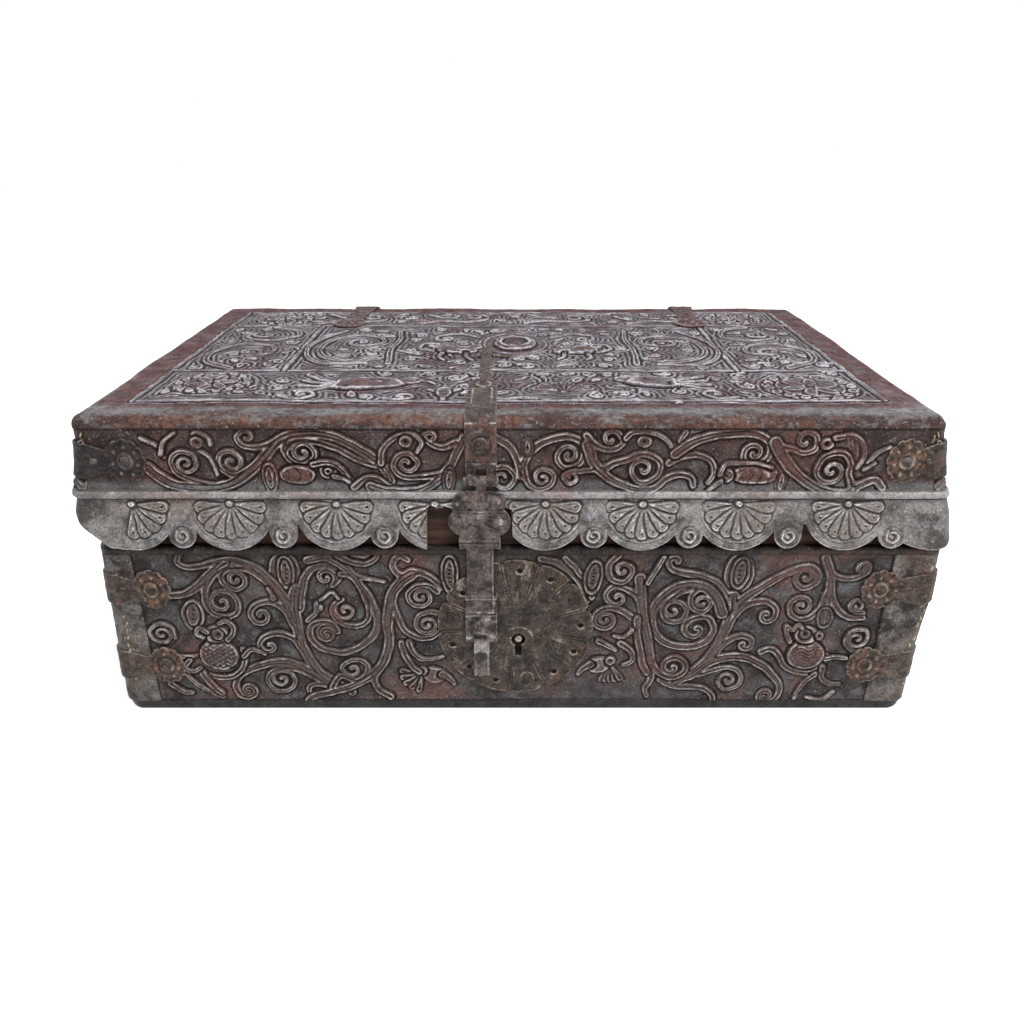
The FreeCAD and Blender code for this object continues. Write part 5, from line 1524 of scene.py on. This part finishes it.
def corner_strip(corner, low_u, high_u):
    """Leather strip up a corner of the base, with a worn line inside its edges, which are darkened
    with painted shade.
    """
    us = axis(low_u - 3, high_u + 3, 1.0)
    inwards = np.minimum(us - us[0], us[-1] - us)
    lift = 2.0 * rounded(inwards, 2.5)
    # Paler worn line inside the strip, and painted shade along its edges
    worn = 0.35 * band(inwards - 2.4, 1.1) - 1.2 * band(inwards, 1.1)
    piece = wall_mesh(
        f"base_corner_binding_{corner}", us, constant(us, pan_top), constant(us, leather_top), 130,
        lambda u, z: np.broadcast_to(lift[:, None], u.shape), flat(-hide),
        strip_map(us[0], us[-1], pan_top, leather_top, 1.0, 53, 0.5), "base",
        lambda u, z: np.broadcast_to(worn[:, None], u.shape))
    dress(piece, "base", "binding_leather", corner_leather, f"base_corner_strip_{corner}")


strip_end = side_middle - side_half
corner_strip("front_right", panel_half, strip_end)
corner_strip("front_left", -strip_end, -panel_half)
corner_strip("rear_right", side_middle + side_half, rear_middle - panel_half)
corner_strip("rear_left", -rear_middle + panel_half, -side_middle - side_half)


# Bottom pan

pan_profile = ((-3, 0), (-1, 0.3), (0.1, 1.6), (0.2, 4), (0.2, 7), (0.4, 9), (0.6, 10.2),
               (-0.4, 11.0), (-4.6, 10.6), (-4.8, 4.2))  # offset and z
pan_wear = (0, 0, 0, -0.1, 0, 0, 0.4, 0.1, 0, 0)


def pan_mesh(name, pitch):
    """Profile swept round the whole outline, closed by a face at each end."""
    us = np.arange(-rear_middle, rear_middle, pitch)
    rings = []
    for offset, z in pan_profile:
        x, y, nx, ny = outline(us, constant(us, offset))
        worn = 2.5 * np.abs(nx * ny) * 2 * max(0.0, 1 - z / 9)
        x = x + lean(x, y, constant(us, z), "base") * (offset > -4)
        rings.append(np.stack([x - nx * worn, y - ny * worn, constant(us, z)], -1))
    count, rounds = len(us), len(rings)
    index = np.arange(count * rounds).reshape(rounds, count)
    ring_next = np.roll(index, -1, axis=1)
    sides = np.stack([index[:-1], ring_next[:-1], ring_next[1:], index[1:]], -1).reshape(-1, 4)
    faces = [sides, index[0][::-1][None, :], index[-1][None, :]]
    return make_mesh(name, np.vstack(rings), faces, {"wear_and_shading": np.repeat(pan_wear, count)})


dress(pan_mesh("base_bottom_pan", 1.5), "base", "wall_leather", pan_leather,
      "base_bottom_leather")


# Stitches

stitch_sides, stitch_steps = 8, 7


def stitches(name, body, slot, places, half, length, slant, seed):
    """Short bent cords on the outside of a wall; places gives u, z and the leather's offset."""
    pick = np.random.RandomState(seed)
    vertices, quads, ends = [], [], []
    ring = np.arange(stitch_sides)
    for u, z, offset in places:
        wild = pick.rand(3) - 0.5
        reach = length * (0.9 + 0.5 * wild[0]) / 2
        tilt = slant + 0.7 * wild[1]
        first = len(vertices)
        for k in range(stitch_steps):
            share = k / (stitch_steps - 1)
            along = (2 * share - 1) * reach
            bow = math.sin(math.pi * share)
            out = offset - 0.5 + 1.1 * bow * (1 + 0.4 * wild[2])
            thick = half * (0.45 + 0.55 * bow)
            for j in ring:
                a = 2 * math.pi * j / stitch_sides
                across = thick * math.cos(a)
                mu = u + along * math.sin(tilt) + across * math.cos(tilt)
                mz = z + along * math.cos(tilt) - across * math.sin(tilt)
                x, y, _, _ = outline(np.array([mu]), np.array([out + thick * math.sin(a)]))
                x = x + lean(x, y, np.array([mz]), body)
                vertices.append((float(x[0]), float(y[0]), mz))
        for k in range(stitch_steps - 1):
            low = first + k * stitch_sides + np.append(ring, 0)
            for a, b in zip(low, low[1:]):
                quads.append((a, b, b + stitch_sides, a + stitch_sides))
        ends.append(first + ring[::-1])
        ends.append(first + (stitch_steps - 1) * stitch_sides + ring)
    piece = make_mesh(name, np.array(vertices), [np.array(quads), np.array(ends)], {})
    dress(piece, body, slot, stitch_cord)


def stitch_row(u, low, high, pitch, offset, seed, sway=1.2):
    """Places of a row of stitches up a wall, a little uneven, with some missing."""
    pick = np.random.RandomState(seed)
    count = int((high - low) / pitch)
    return [(u + sway * (2 * pick.rand() - 1), low + (k + 0.5) * pitch + pick.rand() - 0.5, offset)
            for k in range(count) if pick.rand() < 0.86]


for name, u, low, high, seed in (("left", -346.5, 34, 152, 3), ("right", 352.5, 18, 158, 4)):
    stitches(f"base_corner_stitches_{name}", "base", "binding_leather",
             stitch_row(u, low, high, 7.2, 2.0, seed), 0.85, 6.4, 0.25, seed)
stitches("lid_corner_thong_right", "lid", "wall_leather", [(345.0, 271, 0.5)], 1.0, 10.0, 0.2, 12)
for name, u, seed in (("left", -349.0, 6), ("right", 349.5, 7)):
    stitches(f"lid_corner_stitches_{name}", "lid", "wall_leather",
             stitch_row(u, skirt_top + 3, roll_low - 1, 7.0, 0.0, seed), 0.8, 5.6, 0.1, seed)


# Ironwork: forged surfaces made from the fitted solids

def forged(node, name, body, material, voxel, hammer=0.1, shape=None, smooth=3, shift=None,
           slot="strap_iron"):
    """Fine mesh of a solid, smoothed, hammered, and worked further by shape(points, normals).

    shape gives the height of each point, how much paler (bare metal, painted highlight) or darker
    (painted shade) it is, and its rust; shift moves it bodily.
    """
    mesh = bpy.data.meshes.new(name)
    maker = bmesh.new()
    maker.from_mesh(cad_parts[node].data)
    maker.to_mesh(mesh)
    maker.free()
    thing = add_object(name, mesh)
    remesh = thing.modifiers.new("fine", "REMESH")
    remesh.mode = "VOXEL"
    remesh.voxel_size = voxel * MM
    soften = thing.modifiers.new("soften", "SMOOTH")
    soften.iterations = smooth
    soften.factor = 0.5
    fine = bpy.data.meshes.new_from_object(
        thing.evaluated_get(bpy.context.evaluated_depsgraph_get()))
    thing.modifiers.clear()
    thing.data = fine
    fine.name = name
    count = len(fine.vertices)
    points = np.empty(count * 3, np.float32)
    normals = np.empty(count * 3, np.float32)
    fine.vertices.foreach_get("co", points)
    fine.vertex_normals.foreach_get("vector", normals)
    points, normals = points.reshape(-1, 3) / MM, normals.reshape(-1, 3)
    x, y, z = points.T
    move = hammer * rough(x * 0.83 + y * 0.61, z + y * 0.37, 7, 61)
    tone_shift, rusty = np.zeros(count), np.full(count, 0.3)
    if shape is not None:
        height, tone_shift, rusty = shape(points, normals)
        move = move + height
    points = points + normals * move[:, None]
    if shift is not None:
        points = points + shift(points)
    if body in ("base", "lid"):
        points[:, 0] += lean(points[:, 0], points[:, 1], points[:, 2], body)
    fine.vertices.foreach_set("co", (points * MM).astype(np.float32).ravel())
    fine.polygons.foreach_set("use_smooth", np.ones(len(fine.polygons), bool))
    add_fields(fine, {"wear_and_shading": tone_shift, "rusty": rusty})
    fine.update()
    dress(thing, body, slot, material, node)


def faces_front(normals, low=0.5):
    return step_up(low, 0.8, -normals[:, 1])


def faces_up(normals):
    return step_up(0.5, 0.8, normals[:, 2])


# Rosettes of the corner straps: their heights, and the distance of their middles from the
# trunk's middle, along the front and along the sides
rosette_levels = {"base": (52.0, 132.0), "lid": (252.5,)}
rosette_front = {"left": 317.0, "right": 323.0}
rosette_side = {"left": 174.0, "right": 180.0}
rosette_squash = 0.86
rosette_studs = 7
rosette_petals = 12


def rosette_work(levels, front_x, side_y):
    """Studs round a ridged hub, and creases at the scalloped rim, on each rosette of a strap."""
    def shape(points, normals):
        x, y, z = points.T
        height, tone_shift, near = np.zeros(len(x)), np.zeros(len(x)), np.zeros(len(x))
        on_end = np.abs(normals[:, 1]) > 0.7
        across = np.where(on_end, np.abs(x) - front_x, np.abs(y) - side_y) / rosette_squash
        facing = step_up(0.6, 0.8, np.maximum(np.abs(normals[:, 0]), np.abs(normals[:, 1])))
        for level in levels:
            up = z - level
            r, turn = np.hypot(across, up), np.arctan2(up, across)
            ridge = band(r - 6.4, 1.3)
            stud = band(r - 12.4, 2.2) * step_up(0.45, 0.95, np.cos(rosette_studs * turn + level))
            petals = np.clip(np.cos(rosette_petals * turn + 0.6) - 0.55, 0, 1)
            crease = band(r - 17.0, 3.0) * petals * 2
            sunk = band(r - 9.2, 1.0) + 0.6 * band(r - 15.4, 0.9)
            inside = step_up(21, 18.5, r)
            height += facing * inside * (0.5 * ridge + 1.1 * stud - 0.5 * crease - 0.35 * sunk)
            tone_shift += facing * inside * (0.6 * ridge + 0.7 * stud - 0.6 * crease - 0.7 * sunk)
            near = np.maximum(near, inside)
        lumps = rough(x + y, z, 5.0, 67, 3)
        return (height + 0.2 * lumps, np.clip(tone_shift + 0.4 * lumps, -1, 1), 0.3 + 0.45 * near)
    return shape


hinge_middles = {"left": -186.3, "right": 207.6}
disc_y, disc_radius = 113.0, 17.0  # disc at the end of a hinge strap
disc_studs = 5


def hinge_work(middle):
    """Ringed disc with studs at the end of a hinge strap, on the lid."""
    def shape(points, normals):
        x, y, z = points.T
        top = faces_up(normals)
        dx, dy = x - middle, y - disc_y
        r, turn = np.hypot(dx, dy), np.arctan2(dy, dx)
        ring = band(r - disc_radius, 2.0)
        studs = band(r - 9.5, 2.6) * step_up(0.5, 0.9, np.cos(disc_studs * turn))
        hub = band(r, 3.0)
        lumps = rough(x, y + z, 6, 91, 3)
        height = top * (1.3 * ring + 1.2 * studs + 1.6 * hub) + 0.25 * lumps
        tone_shift = top * (0.9 * ring + 0.8 * studs + 0.9 * hub) + 0.4 * lumps
        return height, np.clip(tone_shift, -1, 1), np.full(len(x), 0.4)
    return shape


def hinge_waist(middle):
    """The strap narrows between its disc and the lid's back edge."""
    def shift(points):
        x, y, _ = points.T
        out = np.zeros_like(points)
        waist = step_up(122, 140, y) * step_up(216, 200, y)
        out[:, 0] = -0.2 * waist * (x - middle)
        out[:, 0] += 0.1 * step_up(134, 126, y) * (x - middle)
        return out
    return shift


boss_middle = (-28.6, 204.2)  # x and z on the hasp
hasp_bosses = ((-46.0, 215.4, 3.6, 1.1), (-12.2, 216.6, 3.6, 1.1), (-48.4, 197.8, 4.0, 1.3),
               (-10.2, 198.8, 4.0, 1.3), (*boss_middle, 5.4, 1.6))  # x, z, radius and height
hasp_ribs = ((181.0, 1), (177.6, 1), (179.3, -1), (127.2, 1), (125.6, -1), (124, 1), (110, 1),
             (108.6, -1), (107, 1))  # heights of ribs, and of grooves where the sign is negative


def hasp_work(points, normals):
    """Bosses, with painted highlight on their upper part and painted shade round their foot, grooves
    and edges of the hasp.
    """
    x, z = points[:, 0], points[:, 2]
    front = faces_front(normals, 0.45)
    height, tone_shift = np.zeros(len(x)), np.zeros(len(x))
    for bx, bz, radius, tall in hasp_bosses:
        r = np.hypot(x - bx, z - bz)
        height += tall * band(r, radius)
        # Painted highlight on the upper part of each boss, and painted shade in a ring round its foot
        lit = band(np.hypot(x - bx, z - bz - 0.3 * radius), radius * 0.7)
        tone_shift += 0.6 * lit - 0.35 * band(r - 1.8 * radius, 1.4)
    mottle = rough(x, z, 5.0, 73, 3)
    height += 0.22 * mottle
    tone_shift += 0.4 * mottle
    dx, dz = x - boss_middle[0], z - boss_middle[1]
    r, turn = np.hypot(dx, dz), np.arctan2(dz, dx)
    rays = np.clip(np.cos(8 * turn) - 0.6, 0, 1) * 2.2 * step_up(7, 9, r) * step_up(17, 13, r)
    height -= 0.45 * rays
    tone_shift -= 0.6 * rays
    boss = (z > 184) & (z < 228)
    for level in (209.8, 207.2):
        line = band(z - level, 0.8) * boss
        height -= 0.5 * line
        tone_shift -= 0.5 * line
    tone_shift += 0.5 * band(z - 208.5, 0.5) * boss
    for level, sign in hasp_ribs:
        height += 0.4 * sign * band(z - level, 0.75)
        tone_shift += (0.5 + 0.4 * mottle) * sign * band(z - level, 0.8)
    arm = step_up(109, 112, z) * step_up(177, 174, z)
    tone_shift += (0.7 + 0.3 * mottle) * arm * band(x + 16.6, 0.9) - 0.4 * arm * band(x + 19.0, 0.8)
    height -= 0.3 * arm * band(x + 19.0, 0.9)
    knob = step_up(80, 84, z) * step_up(107, 103, z)
    lumps = rough(x, z, 6.5, 71, 3)
    height += 0.9 * knob * lumps
    tone_shift += 1.1 * knob * lumps
    tab = step_up(82, 79, z)
    tone_shift += tab * (1.1 * step_up(66, 72, z) + 0.7 * band(x + 22.0, 0.8) + 0.5 * band(x + 33.2, 0.8))
    rusty = 0.2 + 0.3 * step_up(200, 225, z) - 0.5 * tab
    return front * height, np.clip(tone_shift, -1, 1) * front, rusty


strap_middle = -26  # x of the hasp strap


def hasp_strap_work(points, normals):
    """Frame engraved on the top, creases, worn edges and rust on the bend of the hasp strap."""
    x, y, z = points.T
    top, front = faces_up(normals), faces_front(normals)
    frame_line = ((band(x + 34.5, 0.8) + band(x + 17.6, 0.8))
                  * step_up(-192, -188, y) * step_up(-144, -148, y))
    frame_line = frame_line + band(y + 146, 1.3) * (np.abs(x - strap_middle) < 9)
    ring = band(np.hypot((x + 25.4) / 6.2, (y + 135) / 8.0) - 1, 0.16)
    crease = band(np.hypot(x - strap_middle, z - 266) - 8.2, 1.1)
    lip = band(z - 250.5, 0.7) + 0.8 * band(z - 285, 0.8)
    edge_line = band(np.abs(x - strap_middle) - 19.5, 0.9)
    lumps = rough(x + y, z, 5.0, 69, 3)
    height = top * (-0.4 * frame_line + 0.5 * ring) + front * (-0.5 * crease - 0.3 * lip)
    tone_shift = (top * (0.9 * frame_line + 0.9 * ring)
            + front * (0.7 * edge_line - 0.8 * crease + 0.6 * lip) + 0.4 * lumps)
    rusty = 0.2 + 0.6 * front * step_up(246, 256, z) - 0.3 * step_up(-140, -120, y)
    return height + 0.18 * lumps, np.clip(tone_shift, -1, 1), rusty


def hasp_strap_arms(points):
    """The cross at the strap's tip has slipped: a short arm on the left, a long one on the right."""
    x, y, _ = points.T
    tip = step_up(-60, -45, y)
    left = 9.5 * np.clip((-33 - x) / 15.5, 0, 1)
    right = 6.0 * np.clip((x + 19) / 15.5, 0, 1)
    out = np.zeros_like(points)
    out[:, 0] = tip * (left + right)
    out[:, 1] = -7.0 * tip * step_up(3, 8, np.abs(x - strap_middle))
    return out


plate_lobes = 13
plate_first = 86.0  # angle of the first nail hole
plate_holes = 59  # radius of the circle of nail holes
plate_rim = 69.0
plate_scratches = 90


def on_plate(points):
    """Places seen from the lock plate's middle: x, z, radius and angle in degrees."""
    dx, dz = points[:, 0] - plate_middle[0], points[:, 2] - plate_middle[1]
    return dx, dz, np.hypot(dx, dz), np.degrees(np.arctan2(dz, dx))


def plate_notches(points):
    """Draws the rim in between its lobes."""
    dx, dz, r, turn = on_plate(points)
    pitch = 360 / plate_lobes
    off = np.radians((turn - plate_first) % pitch - pitch / 2) * r
    pull = 3.0 * band(off, 2.6) * step_up(56, 69, r)
    out = np.zeros_like(points)
    out[:, 0], out[:, 2] = -pull * dx / r, -pull * dz / r
    return out


def plate_work(points, normals):
    """Engraved rays, a rim, hole edges paler on their lower side as painted highlight, a worn arc and
    scratches on the lock plate.
    """
    x, z = points[:, 0], points[:, 2]
    front = faces_front(normals)
    height, tone_shift = np.zeros(len(x)), np.zeros(len(x))
    dx, dz, r, turn = on_plate(points)
    pick = np.random.RandomState(19)
    for k in range(plate_lobes):
        angle = plate_first - (k + 0.5) * 360 / plate_lobes
        off = np.radians((turn - angle + 180) % 360 - 180) * r
        reach = 36 + 14 * pick.rand()
        span = step_up(reach, reach + 6, r)
        pair = (band(off - 1.5, 0.55) + band(off + 1.5, 0.55)) * span
        height -= 0.35 * pair
        tone_shift += 0.55 * band(off, 0.5) * span + 0.5 * band(off - 2.4, 0.45) * span - 0.7 * pair
        hx, hz = round_about((0, 0), plate_holes, math.radians(plate_first - k * 360 / plate_lobes))
        # Painted highlight on the lower edge of each nail hole
        ring = band(np.hypot(dx - hx, dz - hz) - 3.3, 0.8)
        tone_shift += ring * np.clip(0.35 - (dz - hz) / 3.0, 0, 1.3)
    tone_shift += (0.45 + 0.3 * rough(x, z, 9, 83, 2)) * band(r - plate_rim, 0.8)
    mottle = rough(x, z, 11, 79, 4)
    tone_shift += 0.35 * mottle + 0.3 * rough(turn * 1.4, r * 0.25, 3.0, 87, 3) * step_up(10, 30, r)
    height += 0.15 * mottle
    height += 0.3 * band(r - plate_rim, 1.0)
    kx, kz = x - keyhole[0], z - keyhole[1]
    kr, kt = np.hypot(kx, kz), np.degrees(np.arctan2(kz, kx))
    arc = band(kr - 13.2, 1.1) * step_up(-5, 20, kt) * step_up(150, 120, kt)
    height += 0.4 * arc
    tone_shift += 0.9 * arc + 0.6 * band(kr - 7.3, 0.8)
    tone_shift += 0.8 * band(np.hypot(x - 13.5, z - 37.5) - 6, 0.8) * step_up(34, 40, z)
    for _ in range(plate_scratches):
        cx, cz = 62 * (2 * pick.rand(2) - 1)
        a = math.radians(90 + 34 * pick.randn())
        along = (dx - cx) * math.cos(a) + (dz - cz) * math.sin(a)
        off = (dz - cz) * math.cos(a) - (dx - cx) * math.sin(a)
        length = 6 + 22 * pick.rand()
        scratch = band(off, 0.3) * step_up(length, length * 0.6, np.abs(along))
        tone_shift += (0.35 if pick.rand() < 0.5 else -0.6) * scratch
    rusty = 0.1 + 0.5 * step_up(38, 62, r) + 0.4 * band(kr - 12, 5)
    return front * height, front * np.clip(tone_shift, -1, 1), rusty


for body, stem_name in (("base", "base_corner_straps_"), ("lid", "lid_corner_strap_")):
    for corner in ("front_left", "front_right", "rear_left", "rear_right"):
        node, hand = stem_name + corner, corner.split("_")[1]
        finish = dark_metal if node == "lid_corner_strap_front_left" else strap_metal
        forged(node, node + "_iron", body, finish, 0.7, 0.1,
               rosette_work(rosette_levels[body], rosette_front[hand], rosette_side[hand]))
forged("base_strap_nails", "base_strap_nail_heads", "base", strap_metal, 0.5, 0.12)
forged("lid_strap_nails", "lid_strap_nail_heads", "lid", hasp_metal, 0.5, 0.12)
for side, middle in hinge_middles.items():
    forged(f"{side}_hinge_base_strap", f"{side}_hinge_base_iron", "base", strap_metal, 0.8)
    forged(f"{side}_hinge_lid_strap", f"{side}_hinge_lid_iron", "lid", hinge_metal, 0.7, 0.1,
           hinge_work(middle), shift=hinge_waist(middle))
forged("hinge_pins", "hinge_pin_rods", "base", strap_metal, 0.6)
forged("hasp_strap", "hasp_strap_iron", "lid", flap_metal, 0.55, 0.1, hasp_strap_work,
       shift=hasp_strap_arms)
forged("hasp_strap_nails", "hasp_strap_rivets", "lid", flap_metal, 0.45, 0.2)
forged("hasp_hinge_pin", "hasp_hinge_rod", "lid", hasp_metal, 0.45)
forged("hasp", "hasp_iron", "hasp", hasp_metal, 0.45, 0.1, hasp_work, 2)
forged("lock_plate", "lock_plate_iron", "base", lock_metal, 0.45, 0.12, plate_work, 2,
       plate_notches, "lock_iron")
forged("lock_plate_nails", "lock_plate_nail_heads", "base", dark_metal, 0.4, 0.08)


# Materials of the solids that stay as they are

for node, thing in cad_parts.items():
    if "board_pegs" in node:
        finish = peg_wood
    elif node.endswith("_board"):
        finish = board_wood
    elif node == "lock_key_pin":
        finish = pin_metal
    # The lock's inner parts take the near-black iron, as painted shade
    elif node in ("lock_bolt_guides", "lock_case", "lock_spring"):
        finish = inside_shade_metal
    elif node in ("hasp_staple", "lock_bolt"):
        finish = lock_metal
    else:
        continue
    thing.data.materials.clear()
    thing.data.materials.append(finish)


# Camera, light and ground, in metres

frame_pixels = 1024
lens_pixels = 841.6  # focal length, where the frame is as wide as that
sensor = 36
camera_place = (-0.0004, -0.861, 0.506)
camera_tilt = 65.0  # degrees up from looking straight down
lamp_target = Vector((0, 0, 0.15))
sky_light = 0.34
floor_half = 6.0
floor_colour = (0.8, 0.8, 0.8, 1)
floor_glow = 0.72
white = (1, 1, 1, 1)

bpy.context.scene.view_settings.view_transform = "Standard"
camera_data = bpy.data.cameras.new("camera")
camera_data.lens = lens_pixels * sensor / frame_pixels
camera_data.sensor_width = sensor
camera = add_object("camera", camera_data)
camera.location = camera_place
camera.rotation_euler = (math.radians(camera_tilt), 0, 0)
bpy.context.scene.camera = camera


def lamp(name, place, size, power):
    """Round lamp that faces the middle of the trunk."""
    data = bpy.data.lights.new(name, "AREA")
    data.shape = "DISK"
    data.size = size
    data.energy = power
    thing = add_object(name, data)
    thing.location = place
    thing.rotation_euler = (lamp_target - Vector(place)).to_track_quat("-Z", "Y").to_euler()


lamp("key", (0.25, -0.75, 1.75), 0.6, 35)
lamp("fill", (1.2, -2.0, 0.9), 1.6, 12)
lamp("behind_left", (-1.9, 1.5, 0.7), 1.2, 10)
lamp("behind_right", (1.9, 1.5, 0.7), 1.2, 10)

world = bpy.data.worlds.new("studio")
bpy.context.scene.world = world
sky = Nodes(world)
background = sky.add("ShaderNodeBackground")
background.inputs["Color"].default_value = white
strength = sky.add("ShaderNodeMapRange")
strength.inputs["To Min"].default_value = sky_light
strength.inputs["To Max"].default_value = 1.0
sky.put(sky.seen_ray(), strength.inputs["Value"])
sky.put(strength.outputs["Result"], background.inputs["Strength"])
sky.put(background.outputs["Background"], sky.add("ShaderNodeOutputWorld").inputs["Surface"])

floor_mesh = bpy.data.meshes.new("floor")
floor_mesh.from_pydata([(x * floor_half, y * floor_half, 0)
                        for x, y in ((-1, -1), (1, -1), (1, 1), (-1, 1))], [], [(0, 1, 2, 3)])
floor = add_object("floor", floor_mesh)
floor_material = bpy.data.materials.new("floor")
ground = Nodes(floor_material)
diffuse = ground.add("ShaderNodeBsdfDiffuse")
diffuse.inputs["Color"].default_value = floor_colour
glow = ground.add("ShaderNodeEmission")
glow.inputs["Color"].default_value = white
ground.put(ground.combine("MULTIPLY", ground.seen_ray(), floor_glow), glow.inputs["Strength"])
both = ground.add("ShaderNodeAddShader")
ground.put(diffuse.outputs["BSDF"], both.inputs[0])
ground.put(glow.outputs["Emission"], both.inputs[1])
ground.put(both.outputs["Shader"], ground.add("ShaderNodeOutputMaterial").inputs["Surface"])
floor_mesh.materials.append(floor_material)
